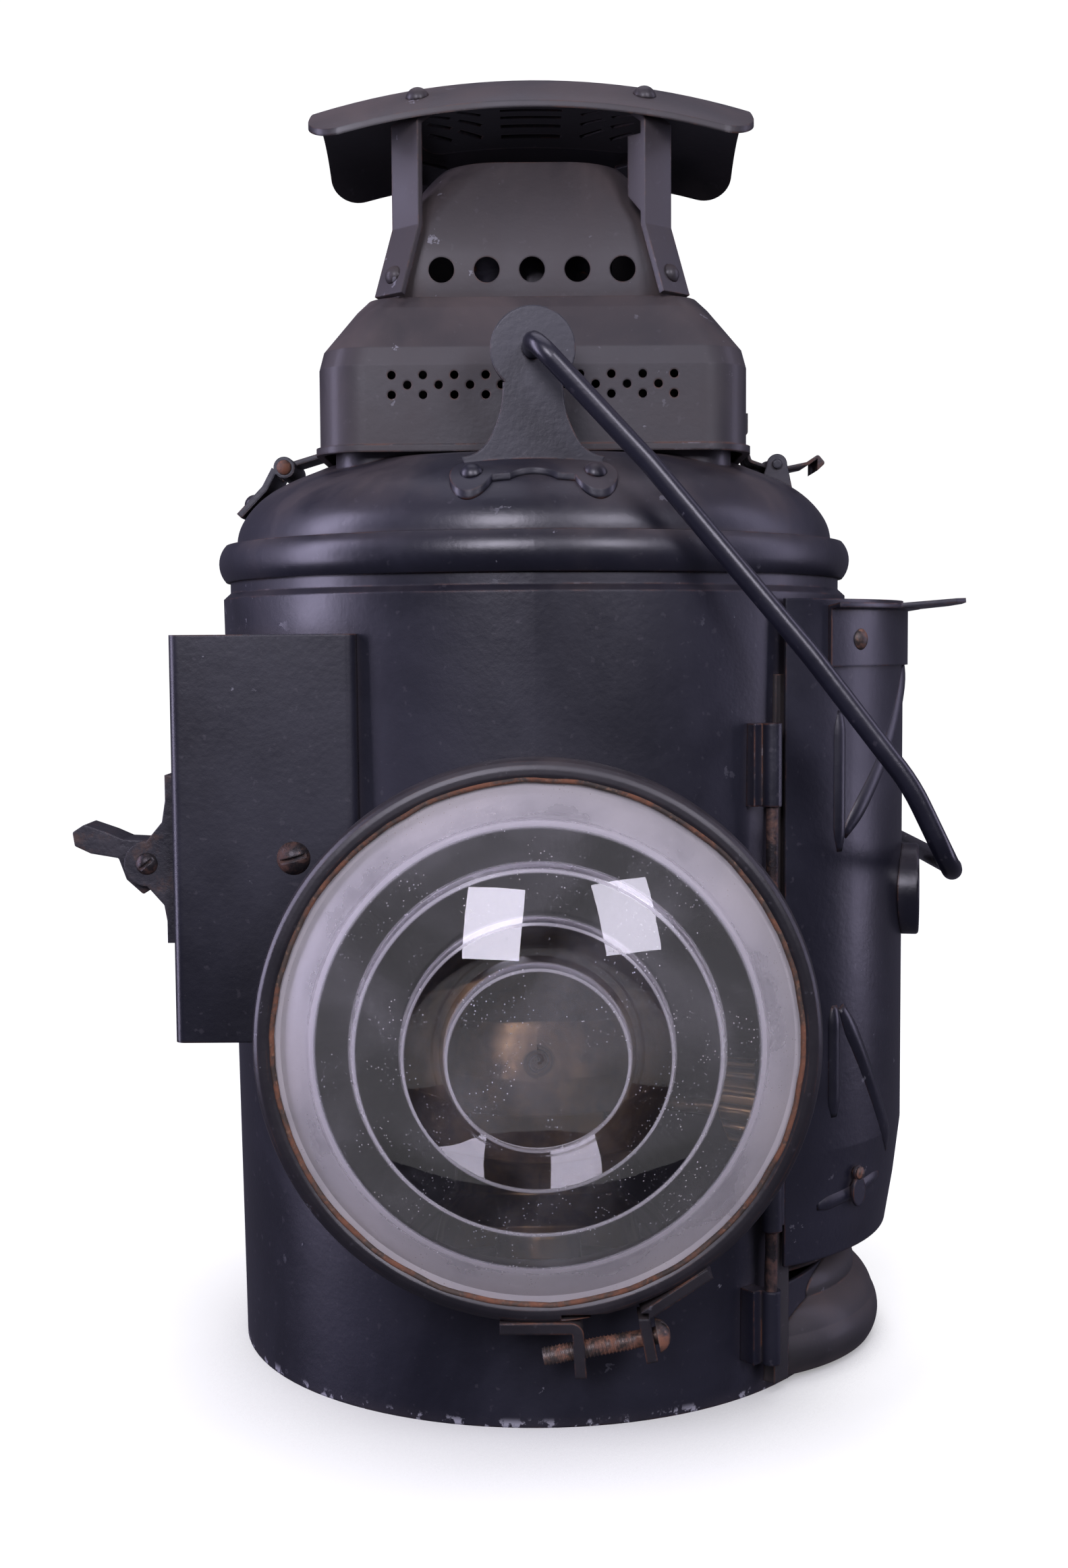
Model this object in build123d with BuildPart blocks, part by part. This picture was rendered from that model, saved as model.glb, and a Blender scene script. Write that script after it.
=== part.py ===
"""Oil-burning railway signal lamp with a hinged chimney, a lifting access door and a bail.

Millimetres, +Z up. The origin is the centre of the drum's foot, on the surface it stands on.
The lens faces -Y. Azimuths are measured from the front (-Y) towards the right (+X).
"""
import os
from math import acos, cos, radians, sin

from build123d import *

os.makedirs("parts", exist_ok=True)

# Driving dimensions: drum
SHEET = 1.2
FIT = 0.08
GAP = 0.4
BODY_R_FOOT = 97.1
BODY_R_TOP = 100.6
BODY_TOP = 239.0
GROOVE_R = 98.4
RING_R = 101.9
RING_BASE = 244.4
RING_TOP = 256.0
DOME_R = 96.0
DOME_TOP = 281.0
PAN_Z = 1.2

# Lens
LENS_Z = 115.7
LENS_R = 75.0
GLASS_R = 72.2
CLAMP_R = 77.8
CLAMP_BACK = 107.0
CLAMP_FRONT = 119.0
NECK_R = 62.0
DOME_RISE = 24.0
STEP_RADII = (24.0, 35.6, 49.0, 61.0)

# Door opening, lifting door and its guide rods
OPEN_START = 47.7
OPEN_END = 112.3
OPEN_LOW = 30.0
OPEN_HIGH = 215.0
JAMB_R = 101.4
DOOR_AZ = 80.0
DOOR_HALF = 35.5
DOOR_EDGE_R = 104.0
DOOR_LOW = 39.0
DOOR_HIGH = 237.0
DOOR_LEVELS = ((39.0, 114.3), (54.0, 116.8), (72.0, 119.0), (235.8, 119.0))
BULGE_CENTRE = 48.7
BULGE_R = 70.3
SIGHT_Z = 145.3
SIGHT_R = 14.6
SIGHT_FACE = 124.4
ROD_R = 1.8
BARREL_R = 2.8
ROD_RING = 105.0
ROD_AZ = (40.6, 119.4)
EYE_R = 3.2
EYE_LOW = 52.0
EYE_HIGH = 66.0
COVER_ANGLE = 43.8
COVER_Z = 63.5
BRACKET_START = 33.0
BRACKET_ARC = 79.0
BRACKET_RIVETS = (43.0, 102.0)
RIVET_Z = 225.0
TAB_RISE = 5.0

# Socket for the lamp iron, with its cam lever
SOCKET_X = -103.8
SOCKET_FRONT = -90.0
SOCKET_BACK = -20.0
SOCKET_LOW = 111.0
SOCKET_HIGH = 227.5
SOCKET_RIGHT = -50.6
WALL = 1.5
SCREW_SHANK_R = 2.0
SOCKET_SCREW_X = -69.0
SOCKET_SCREW_Z = 164.0
LEVER_X = -112.0
LEVER_Z = 162.0
LEVER_Y = (-84.0, -60.0)
EAR_T = 4.0

# Chimney
VENT_W = 129.4
VENT_D = 115.0
VENT_LOW = 281.4
VENT_SHOULDER = 307.0
VENT_TOP = 329.0
HOOD_W = 136.0
HOOD_D = 89.0
HOOD_TOP = 402.5
HOOD_X_RADIUS = 240.0
HOOD_Y_RADIUS = 71.0
HINGE_X = -79.5
HINGE_Z = 281.0

# Bail
BAIL_Z = 308.0
BAIL_ROD_R = 2.9
BAIL_LEG_Y = 100.0
LUG_Y = 80.2
LUG_T = 3.0

# Burner
FOUNT_R = 52.0
FOUNT_TOP = 54.0
WICK_SHAFT_Z = 78.0
WICK_SHAFT_Y = 5.6
SHAFT_R = 1.2


def body_radius(height):
    """Outside radius of the tapered drum at a height."""
    return BODY_R_FOOT + (BODY_R_TOP - BODY_R_FOOT) * height / BODY_TOP


def around(radius, azimuth, height=0.0):
    """Point at a radius, an azimuth from the front and a height."""
    return (radius * sin(radians(azimuth)), -radius * cos(radians(azimuth)), height)


def upright(azimuth):
    """Plane through the lamp axis: local x points outwards and local y up."""
    outward = Vector(*around(1, azimuth))
    return Plane(origin=(0, 0, 0), x_dir=outward, z_dir=outward.cross(Vector(0, 0, 1)))


def facing(radius, azimuth, height):
    """Plane that faces outwards at an azimuth: local y is up."""
    outward = Vector(*around(1, azimuth))
    across = Vector(0, 0, 1).cross(outward)
    return Plane(origin=around(radius, azimuth, height), x_dir=across, z_dir=outward)


def on_bulge(angle, height, proud=0.0):
    """Plane that faces outwards on the door's bulge, at an angle about the bulge's own axis."""
    outward = Vector(*around(1, angle))
    spot = bulge_axis.position + outward * (BULGE_R + proud) + Vector(0, 0, height)
    return Plane(origin=spot, x_dir=Vector(0, 0, 1).cross(outward), z_dir=outward)


def through_bulge(angle):
    """Upright plane through the bulge's axis: local x points outwards and local y up."""
    outward = Vector(*around(1, angle))
    return Plane(origin=bulge_axis.position, x_dir=outward, z_dir=outward.cross(Vector(0, 0, 1)))


def lens_plane():
    """Plane through the lens axis: local x points forwards and local y is a radius."""
    return Plane(origin=(0, 0, LENS_Z), x_dir=(0, -1, 0), z_dir=(1, 0, 0))


LENS_AXIS = Axis((0, 0, LENS_Z), (0, -1, 0))
bulge_axis = Axis(around(BULGE_CENTRE, DOOR_AZ), (0, 0, 1))


def turn(plane, outline, axis=Axis.Z, arc=360.0, mode=Mode.ADD):
    """Revolve a closed outline of straight runs about an axis, in the part being built."""
    with BuildSketch(plane) as profile:
        with BuildLine():
            Polyline(*outline, close=True)
        make_face()
    revolve(profile.sketch, axis=axis, revolution_arc=arc, mode=mode)


def raise_outline(plane, outline, amount, both=False, mode=Mode.ADD):
    """Extrude a closed outline of straight runs from a plane, in the part being built."""
    with BuildSketch(plane) as profile:
        with BuildLine():
            Polyline(*outline, close=True)
        make_face()
    extrude(profile.sketch, amount=amount, both=both, mode=mode)


def raise_circle(plane, radius, amount, both=False, mode=Mode.ADD):
    """Extrude a circle from a plane, in the part being built."""
    with BuildSketch(plane) as profile:
        Circle(radius)
    extrude(profile.sketch, amount=amount, both=both, mode=mode)


def raise_strip(plane, points, thickness, width, bend=2.0, side=Side.LEFT):
    """Bend a metal strip along a path in a plane and give it a width across that plane."""
    with BuildSketch(plane) as profile:
        with BuildLine():
            FilletPolyline(*points, radius=bend)
            offset(amount=thickness, side=side)
        make_face()
    extrude(profile.sketch, amount=width / 2, both=True)


def add_roof_form(grow, base, mode=Mode.ADD):
    """Revolve the roof's filled form, grown or shrunk by an amount, from a base height up."""
    foot = [(0, base), (DOME_R + grow, base)]
    if base < RING_TOP:
        foot.append((DOME_R + grow, RING_TOP))
    with BuildSketch(upright(0)) as profile:
        with BuildLine():
            Polyline(*foot)
            Spline((DOME_R + grow, RING_TOP), (92.9 + grow * 0.82, 265.2 + grow * 0.57),
                   (84.2 + grow * 0.62, 273.2 + grow * 0.78), (71.0 + grow * 0.3, 279.2 + grow * 0.95),
                   (54.0, DOME_TOP + grow), tangents=((0, 1), (-1, 0)))
            Polyline((54.0, DOME_TOP + grow), (0, DOME_TOP + grow), (0, base))
        make_face()
    revolve(profile.sketch, axis=Axis.Z, mode=mode)


def add_dome(origin, normal, radius, height):
    """Add a domed rivet head standing on a face."""
    side = Plane(origin=origin, z_dir=normal)
    section = Plane(origin=origin, x_dir=side.x_dir, z_dir=side.y_dir * -1)
    ball = (radius**2 + height**2) / (2 * height)
    half = acos((ball - height) / ball) / 2
    with BuildSketch(section) as profile:
        with BuildLine():
            Line((0, 0), (radius, 0))
            middle = (ball * sin(half), height - ball + ball * cos(half))
            ThreePointArc((radius, 0), middle, (0, height))
            Line((0, height), (0, 0))
        make_face()
    revolve(profile.sketch, axis=Axis(origin, normal))


def add_slotted_head(plane, radius, height, slot, turned):
    """Add a round screw head with a driver slot, standing on a plane."""
    add_dome(plane.origin, plane.z_dir, radius, height)
    with BuildSketch(plane.offset(height * 0.45)) as profile:
        Rectangle(radius * 3, slot, rotation=turned)
    extrude(profile.sketch, amount=height, mode=Mode.SUBTRACT)


def save(builder, name):
    """Label a finished piece and write it."""
    builder.part.label = name
    export_step(builder.part, f"parts/{name}.step")


# --- Drum -------------------------------------------------------------------------------

# Tapered sheet drum with a pressed groove under the top ring
with BuildPart() as body_shell:
    turn(upright(0), [
        (BODY_R_FOOT, 0), (BODY_R_TOP, BODY_TOP), (GROOVE_R, BODY_TOP + 2), (GROOVE_R, RING_BASE),
        (GROOVE_R - SHEET, RING_BASE), (GROOVE_R - SHEET, BODY_TOP + 1.5),
        (BODY_R_TOP - SHEET, BODY_TOP - 1), (BODY_R_FOOT - SHEET, 0)])
    raise_circle(Plane(origin=(0, 0, LENS_Z), z_dir=(0, -1, 0)), NECK_R + FIT, 130, mode=Mode.SUBTRACT)
    turn(upright(OPEN_START), [(80, OPEN_LOW), (110, OPEN_LOW), (110, OPEN_HIGH), (80, OPEN_HIGH)],
         arc=OPEN_END - OPEN_START, mode=Mode.SUBTRACT)
save(body_shell, "body_shell")

# Flat pan that closes the foot flush with the drum's edge, with a turned-up wall inside
with BuildPart() as base_pan:
    wall = BODY_R_FOOT - SHEET - FIT
    turn(upright(0), [
        (0, PAN_Z), (wall - SHEET, PAN_Z), (wall - SHEET, PAN_Z + 10), (wall, PAN_Z + 10),
        (wall, PAN_Z - SHEET), (0, PAN_Z - SHEET)])
save(base_pan, "base_pan")

# Pressed sill that bulges round the foot of the door opening: a drip flange and an upstand
with BuildPart() as door_sill:
    with BuildSketch(through_bulge(DOOR_AZ - 70)) as sill_profile:
        with BuildLine():
            Line((42.0, 2.0), (61.7, 2.0))
            ThreePointArc((61.7, 2.0), (63.5, 8.0), (61.9, 14.0))
            ThreePointArc((61.9, 14.0), (59.3, 19.0), (55.5, 22.0))
            ThreePointArc((55.5, 22.0), (54.3, 27.6), (42.0, 27.6))
            Line((42.0, 27.6), (42.0, 26.2))
            ThreePointArc((42.0, 26.2), (53.1, 25.0), (53.7, 21.4))
            ThreePointArc((53.7, 21.4), (57.9, 18.2), (60.5, 13.6))
            ThreePointArc((60.5, 13.6), (61.7, 8.0), (60.3, 3.4))
            Line((60.3, 3.4), (42.0, 3.4))
            Line((42.0, 3.4), (42.0, 2.0))
        make_face()
    revolve(sill_profile.sketch, axis=bulge_axis, revolution_arc=140)
    turn(upright(0), [
        (0, 0), (body_radius(0) + FIT, 0), (body_radius(30) + FIT, 30), (0, 30)], mode=Mode.SUBTRACT)
    for start in (OPEN_START - 9.9, OPEN_END - 0.1):
        turn(upright(start), [(90, 0), (110, 0), (110, 40), (90, 40)], arc=10.0, mode=Mode.SUBTRACT)
save(door_sill, "door_sill")

# Flat jamb strips on both sides of the door opening
with BuildPart() as door_jambs:
    for start in (OPEN_START - 3.9, OPEN_END):
        turn(upright(start), [
            (body_radius(3) + FIT, 3), (JAMB_R, 3), (JAMB_R, OPEN_HIGH),
            (body_radius(OPEN_HIGH) + FIT, OPEN_HIGH)], arc=3.9)
save(door_jambs, "door_jambs")

# Rolled ring that joins the drum and the domed roof
with BuildPart() as top_ring:
    middle = (RING_BASE + RING_TOP) / 2
    with BuildSketch(upright(0)) as ring_profile:
        with BuildLine():
            Line((DOME_R - 2.5, RING_BASE), (RING_R - 2.2, RING_BASE))
            ThreePointArc((RING_R - 2.2, RING_BASE), (RING_R, middle), (RING_R - 2.2, RING_TOP))
            Line((RING_R - 2.2, RING_TOP), (DOME_R - 2.5, RING_TOP))
            Line((DOME_R - 2.5, RING_TOP), (DOME_R - 2.5, RING_BASE))
        make_face()
    revolve(ring_profile.sketch, axis=Axis.Z)
save(top_ring, "top_ring")

# Spun roof with a rounded square collar that the chimney stands over
with BuildPart() as dome_roof:
    add_roof_form(0, RING_TOP)
    with BuildSketch(Plane.XY.offset(272)) as collar_profile:
        RectangleRounded(VENT_W - 9, VENT_D - 9, 12)
    extrude(collar_profile.sketch, amount=12.4)
    with BuildSketch(Plane.XY.offset(250)) as collar_hole:
        RectangleRounded(VENT_W - 9 - 2 * SHEET, VENT_D - 9 - 2 * SHEET, 12 - SHEET)
    extrude(collar_hole.sketch, amount=60, mode=Mode.SUBTRACT)
    add_roof_form(-SHEET, RING_BASE, mode=Mode.SUBTRACT)
save(dome_roof, "dome_roof")

# --- Lens -------------------------------------------------------------------------------

# Spun neck: a cup for the glass, a cone and a tube into the drum
with BuildPart() as lens_neck:
    cup = LENS_R + 0.5
    turn(lens_plane(), [
        (62, NECK_R), (101, NECK_R), (106.2, cup), (115.5, cup), (115.5, cup - 0.4), (112.0, cup - 0.4),
        (112.0, 70.0), (107.2, 70.0), (101.6, NECK_R - SHEET), (62, NECK_R - SHEET)], axis=LENS_AXIS)
save(lens_neck, "lens_neck")

with BuildPart() as lens_gasket:
    turn(lens_plane(), [(112.05, 70.2), (112.05, 75.0), (113.2, 75.0), (113.2, 70.2)], axis=LENS_AXIS)
save(lens_gasket, "lens_gasket")

# Stepped lens: a convex front, and a back of ring zones that each thicken inwards
with BuildPart() as lens_glass:
    ball = (70**2 + DOME_RISE**2) / (2 * DOME_RISE)
    rim_front = 117.2

    def front_of(radius):
        """Forward position of the convex front at a radius."""
        return rim_front + DOME_RISE - ball + (ball**2 - radius**2) ** 0.5

    with BuildSketch(lens_plane()) as glass_profile:
        with BuildLine():
            apex = (front_of(0), 0)
            ThreePointArc(apex, (front_of(40), 40), (front_of(70), 70))
            Polyline((front_of(70), 70), (rim_front, 74.8), (113.3, 74.8), (113.3, STEP_RADII[-1] + 5))
            back = [(113.3, STEP_RADII[-1] + 5)]
            inner_radius = STEP_RADII[-1]
            back.append((front_of(inner_radius) - 5.0, inner_radius))
            for outer_radius, next_radius in zip(STEP_RADII[::-1], STEP_RADII[-2::-1] + (0,)):
                back.append((front_of(outer_radius) - 4.0, outer_radius - 0.4))
                back.append((front_of(next_radius) - (9.0 if next_radius else 7.0), next_radius))
            Polyline(*back)
            Line(back[-1], apex)
        make_face()
    revolve(glass_profile.sketch, axis=LENS_AXIS)
save(lens_glass, "lens_glass")

# Split clamp band with its retaining lip and two bent screw ears
EAR_Y = -(CLAMP_BACK + CLAMP_FRONT) / 2
SPLIT_X = 18.0
SCREW_R = 2.4
SCREW_TILT = 10.5
screw_dir = (cos(radians(SCREW_TILT)), 0, sin(radians(SCREW_TILT)))
screw_foot = Vector(1.0, EAR_Y, 27.0)
with BuildPart() as lens_clamp:
    turn(lens_plane(), [
        (CLAMP_BACK, LENS_R + 0.58), (CLAMP_BACK, CLAMP_R), (CLAMP_FRONT - 3.0, CLAMP_R),
        (CLAMP_FRONT - 1.2, CLAMP_R - 0.6), (CLAMP_FRONT - 0.3, CLAMP_R - 1.6), (CLAMP_FRONT, CLAMP_R - 2.8),
        (CLAMP_FRONT, GLASS_R + 1.4), (CLAMP_FRONT - 0.5, GLASS_R + 0.4), (117.4, GLASS_R),
        (117.4, LENS_R + 0.58)], axis=LENS_AXIS)
    front = Plane(origin=(0, EAR_Y, 0), x_dir=(1, 0, 0), z_dir=(0, -1, 0))
    raise_strip(front, [(-11.0, 38.2), (12.0, 38.2), (12.9, 22.6)], 3.2, 10.0, bend=3.6, side=Side.RIGHT)
    raise_strip(front, [(46.0, 53.2), (26.8, 40.6), (29.4, 26.6)], 3.2, 10.0, bend=3.6, side=Side.LEFT)
    with BuildSketch(Plane(origin=(SPLIT_X, -CLAMP_FRONT - 1, 40), z_dir=(0, 1, 0))) as split_slot:
        Rectangle(1.6, 24)
    extrude(split_slot.sketch, amount=20, mode=Mode.SUBTRACT)
    raise_circle(Plane(origin=screw_foot, z_dir=screw_dir), SCREW_R + FIT, 40, mode=Mode.SUBTRACT)
save(lens_clamp, "lens_clamp")

# Slotted screw that draws the two ears together
with BuildPart() as clamp_screw:
    head_at = Plane(origin=screw_foot + Vector(*screw_dir) * 32.2, z_dir=screw_dir)
    raise_circle(Plane(origin=screw_foot, z_dir=screw_dir), SCREW_R, 32.2)
    add_slotted_head(head_at, 4.9, 3.7, 1.2, 20)
save(clamp_screw, "clamp_screw")

# --- Socket for the lamp iron -------------------------------------------------------------

socket_screw_plane = Plane(origin=(SOCKET_SCREW_X, SOCKET_FRONT, SOCKET_SCREW_Z), z_dir=(0, 1, 0))

# Folded box on the side of the drum, open below
with BuildPart() as iron_socket:
    raise_outline(Plane.XY.offset(SOCKET_LOW), [
        (SOCKET_X, SOCKET_FRONT), (SOCKET_RIGHT, SOCKET_FRONT), (SOCKET_RIGHT, -60.0), (-80.0, SOCKET_BACK),
        (SOCKET_X, SOCKET_BACK)], SOCKET_HIGH - SOCKET_LOW)
    fillet(iron_socket.edges().filter_by(Axis.Z).group_by(Axis.Y)[0], 3.0)
    raise_outline(Plane.XY.offset(SOCKET_LOW - 1), [
        (SOCKET_X + WALL, SOCKET_FRONT + WALL), (SOCKET_RIGHT - WALL, SOCKET_FRONT + WALL),
        (SOCKET_RIGHT - WALL, -60.0), (-80.0, SOCKET_BACK - WALL), (SOCKET_X + WALL, SOCKET_BACK - WALL)],
        SOCKET_HIGH - SOCKET_LOW - 0.5, mode=Mode.SUBTRACT)
    turn(upright(0), [
        (0, 100), (body_radius(100) + FIT, 100), (body_radius(235) + FIT, 235), (0, 235)],
        mode=Mode.SUBTRACT)
    raise_circle(Plane(origin=(0, 0, LENS_Z), z_dir=(0, -1, 0)), NECK_R + GAP, 130, mode=Mode.SUBTRACT)
    raise_outline(Plane(origin=(SOCKET_X - 1, 0, LEVER_Z), z_dir=(1, 0, 0), x_dir=(0, 1, 0)), [
        (LEVER_Y[0] + 2, -12), (LEVER_Y[1] - 2, -12), (LEVER_Y[1] - 2, 12), (LEVER_Y[0] + 2, 12)],
        4, mode=Mode.SUBTRACT)
    raise_circle(socket_screw_plane.offset(-1), SCREW_SHANK_R + FIT, 4, mode=Mode.SUBTRACT)
save(iron_socket, "iron_socket")

# Bowed leaf spring inside the socket
with BuildPart() as socket_spring:
    raise_strip(Plane(origin=(SOCKET_SCREW_X, 0, 0), z_dir=(1, 0, 0), x_dir=(0, 1, 0)), [
        (SOCKET_FRONT + 1.55, 174), (SOCKET_FRONT + 1.55, 156), (SOCKET_FRONT + 5.4, 138),
        (SOCKET_FRONT + 2.4, 120)], 0.8, 12, bend=6.0, side=Side.LEFT)
    raise_circle(socket_screw_plane.offset(-1), SCREW_SHANK_R + FIT, 6, mode=Mode.SUBTRACT)
save(socket_spring, "socket_spring")

with BuildPart() as socket_screw:
    raise_circle(socket_screw_plane, SCREW_SHANK_R, 4.6)
    raise_circle(socket_screw_plane.offset(2.5), 3.6, 1.8)
    head_plane = Plane(origin=socket_screw_plane.origin, x_dir=(1, 0, 0), z_dir=(0, -1, 0))
    add_slotted_head(head_plane, 4.8, 3.0, 1.2, 15)
save(socket_screw, "socket_screw")

# Cast bracket with two ears that carry the cam lever
with BuildPart() as lever_bracket:
    lever_middle = (LEVER_Y[0] + LEVER_Y[1]) / 2
    lever_half = (LEVER_Y[1] - LEVER_Y[0]) / 2
    base_plane = Plane(origin=(SOCKET_X, lever_middle, 0), z_dir=(-1, 0, 0), x_dir=(0, -1, 0))
    raise_outline(base_plane, [
        (-lever_half, 139), (lever_half, 139), (lever_half, 187.5), (-lever_half, 187.5)], 2.6)
    raise_outline(base_plane, [
        (EAR_T - lever_half, LEVER_Z - 12), (lever_half - EAR_T, LEVER_Z - 12),
        (lever_half - EAR_T, LEVER_Z + 12), (EAR_T - lever_half, LEVER_Z + 12)], 5.0, mode=Mode.SUBTRACT)
    for ear in (LEVER_Y[0] + EAR_T / 2, LEVER_Y[1] - EAR_T / 2):
        ear_plane = Plane(origin=(0, ear, 0), z_dir=(0, -1, 0), x_dir=(1, 0, 0))
        raise_outline(ear_plane, [
            (SOCKET_X - 2, 142), (-107.2, 150), (-112.0, LEVER_Z - 6.5), (-112.0, LEVER_Z + 6.5),
            (-107.4, 174), (SOCKET_X - 2, 184)], EAR_T / 2, both=True)
        raise_circle(ear_plane.offset(-EAR_T / 2).shift_origin((LEVER_X, ear + EAR_T / 2, LEVER_Z)), 6.5, EAR_T)
    raise_circle(Plane(origin=(LEVER_X, LEVER_Y[0] - 1, LEVER_Z), z_dir=(0, 1, 0)), 2.0 + FIT, 30,
                 mode=Mode.SUBTRACT)
save(lever_bracket, "lever_bracket")

with BuildPart() as lever_pivot:
    raise_circle(Plane(origin=(LEVER_X, LEVER_Y[0], LEVER_Z), z_dir=(0, 1, 0)), 2.0, LEVER_Y[1] - LEVER_Y[0] + 1)
    add_slotted_head(Plane(origin=(LEVER_X, LEVER_Y[0], LEVER_Z), x_dir=(1, 0, 0), z_dir=(0, -1, 0)),
                     3.2, 1.8, 0.9, 40)
    raise_circle(Plane(origin=(LEVER_X, LEVER_Y[1], LEVER_Z), z_dir=(0, 1, 0)), 3.2, 1.6)
save(lever_pivot, "lever_pivot")

# Cam lever: a hub with a cam nose that enters the socket, a thumb paddle and a tail
with BuildPart() as cam_lever:
    lever_width = LEVER_Y[1] - LEVER_Y[0] - 2 * EAR_T - 2 * GAP
    lever_plane = Plane(origin=(LEVER_X, lever_middle, LEVER_Z), z_dir=(0, -1, 0), x_dir=(1, 0, 0))
    with BuildSketch(lever_plane) as lever_profile:
        Circle(6.0)
        with BuildLine():
            FilletPolyline((0, 6.2), (-7.5, 6.6), (-12.0, 8.6), (-18.8, 11.0), (-22.2, 8.8), (-21.6, 4.8),
                           (-17.0, 2.6), (-9.0, 1.2), (-6.8, -5.0), (-2.0, -9.4), (1.8, -6.8), (8.6, -3.6),
                           (9.6, 0), (8.6, 3.6), (0, 6.2), radius=0.8)
        make_face()
    extrude(lever_profile.sketch, amount=lever_width / 2, both=True)
    raise_circle(lever_plane.offset(-lever_width), 2.0 + FIT, 2 * lever_width, mode=Mode.SUBTRACT)
save(cam_lever, "cam_lever")

# --- Door ---------------------------------------------------------------------------------

def bulge_section(height, middle_radius, outer_inset, inner_inset):
    """Crescent between two arcs that are inset from the door's outer skin at a height."""
    swing = radians(DOOR_HALF)
    centre_reach = (middle_radius**2 - DOOR_EDGE_R**2) / (2 * (middle_radius - DOOR_EDGE_R * cos(swing)))
    centre = Vector(*around(centre_reach, DOOR_AZ))
    stations = (DOOR_AZ - DOOR_HALF, DOOR_AZ, DOOR_AZ + DOOR_HALF)
    reaches = (DOOR_EDGE_R, middle_radius, DOOR_EDGE_R)
    skin = [Vector(*around(reach, azimuth)) for reach, azimuth in zip(reaches, stations)]
    outer = [(spot - (spot - centre).normalized() * outer_inset) for spot in skin]
    inner = [(spot - (spot - centre).normalized() * inner_inset) for spot in skin]
    with BuildSketch(Plane.XY.offset(height)) as section:
        with BuildLine():
            ThreePointArc(*outer)
            Line(outer[2], inner[2])
            ThreePointArc(inner[2], inner[1], inner[0])
            Line(inner[0], outer[0])
        make_face()
    return section.sketch


# Vertical rods on both sides of the opening, which the door slides up on
with BuildPart() as guide_rods:
    for azimuth in ROD_AZ:
        raise_circle(Plane(origin=around(ROD_RING, azimuth, 12)), ROD_R, 188)
save(guide_rods, "guide_rods")

# Rolled brackets that hold the rods to the drum, two to a rod
with BuildPart() as rod_brackets:
    for azimuth, leaf_start in zip(ROD_AZ, (ROD_AZ[0] - 3, ROD_AZ[1])):
        for low, high in ((12, 34), (177, 201)):
            raise_circle(Plane(origin=around(ROD_RING, azimuth, low)), BARREL_R, high - low)
            turn(upright(leaf_start), [(94, low), (103.2, low), (103.2, high), (94, high)], arc=3)
    turn(upright(0), [
        (0, 0), (body_radius(0) + FIT, 0), (body_radius(220) + FIT, 220), (0, 220)], mode=Mode.SUBTRACT)
    for azimuth in ROD_AZ:
        raise_circle(Plane(origin=around(ROD_RING, azimuth, 10)), ROD_R + 0.02, 200, mode=Mode.SUBTRACT)
save(rod_brackets, "rod_brackets")

# Bulged sheet door with a closed top; it stands outside the opening and laps its jambs
with BuildPart() as door_panel:
    loft([bulge_section(height, reach, 0, SHEET) for height, reach in DOOR_LEVELS], ruled=True)
    top_reach = DOOR_LEVELS[-1][1]
    extrude(bulge_section(DOOR_HIGH - SHEET, top_reach, 0, 9), amount=SHEET)
    raise_circle(Plane.XY.offset(DOOR_HIGH - 6), RING_R + 0.6, 10, mode=Mode.SUBTRACT)
    sight_plane = facing(100, DOOR_AZ, SIGHT_Z)
    raise_circle(sight_plane, 10.0, 30, mode=Mode.SUBTRACT)
    raise_circle(on_bulge(COVER_ANGLE, COVER_Z - 5.6, -10), 2.2, 20, mode=Mode.SUBTRACT)
    raise_circle(on_bulge(COVER_ANGLE, COVER_Z, -10), 1.0 + FIT, 20, mode=Mode.SUBTRACT)
    for angle in BRACKET_RIVETS:
        raise_circle(on_bulge(angle, RIVET_Z, -10), 1.5, 20, mode=Mode.SUBTRACT)
save(door_panel, "door_panel")

# Eyes on short arms at the door's edges, which run on the guide rods
with BuildPart() as door_runners:
    for azimuth, arm_start in zip(ROD_AZ, (ROD_AZ[0] + 1.2, DOOR_AZ + DOOR_HALF + 0.1)):
        raise_circle(Plane(origin=around(ROD_RING, azimuth, EYE_LOW)), EYE_R, EYE_HIGH - EYE_LOW)
        turn(upright(arm_start), [
            (102.6, EYE_LOW), (104.2, EYE_LOW), (104.2, EYE_HIGH), (102.6, EYE_HIGH)], arc=2.6)
    for azimuth in ROD_AZ:
        raise_circle(Plane(origin=around(ROD_RING, azimuth, EYE_LOW - 1)), ROD_R + FIT, 30,
                     mode=Mode.SUBTRACT)
save(door_runners, "door_runners")

# Riveted door bracket with a flange along its top and a thumb tab to lift the door by
with BuildPart() as door_bracket:
    inside, outside = BULGE_R + 0.1, BULGE_R + 1.5
    turn(through_bulge(BRACKET_START), [
        (inside, 217), (outside, 217), (outside, 234.8), (inside, 234.8)], axis=bulge_axis, arc=BRACKET_ARC)
    turn(through_bulge(BRACKET_START), [
        (inside, 233.6), (75.5, 234.4), (75.5, 235.8), (inside, 235.0)], axis=bulge_axis, arc=BRACKET_ARC)
    root = on_bulge(70, 234.4, 1.7)
    rising = root.z_dir * cos(radians(TAB_RISE)) + Vector(0, 0, sin(radians(TAB_RISE)))
    raise_outline(Plane(origin=root.origin, x_dir=rising, z_dir=rising.cross(root.x_dir)), [
        (-1.0, -18.5), (17.0, -8.6), (19.0, -3.5), (16.2, 8.1), (10.9, 16.8), (-2.6, 19.8), (0.4, 0)], 1.4)
    for angle in BRACKET_RIVETS:
        raise_circle(on_bulge(angle, RIVET_Z, -10), 1.5, 20, mode=Mode.SUBTRACT)
save(door_bracket, "door_bracket")

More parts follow.
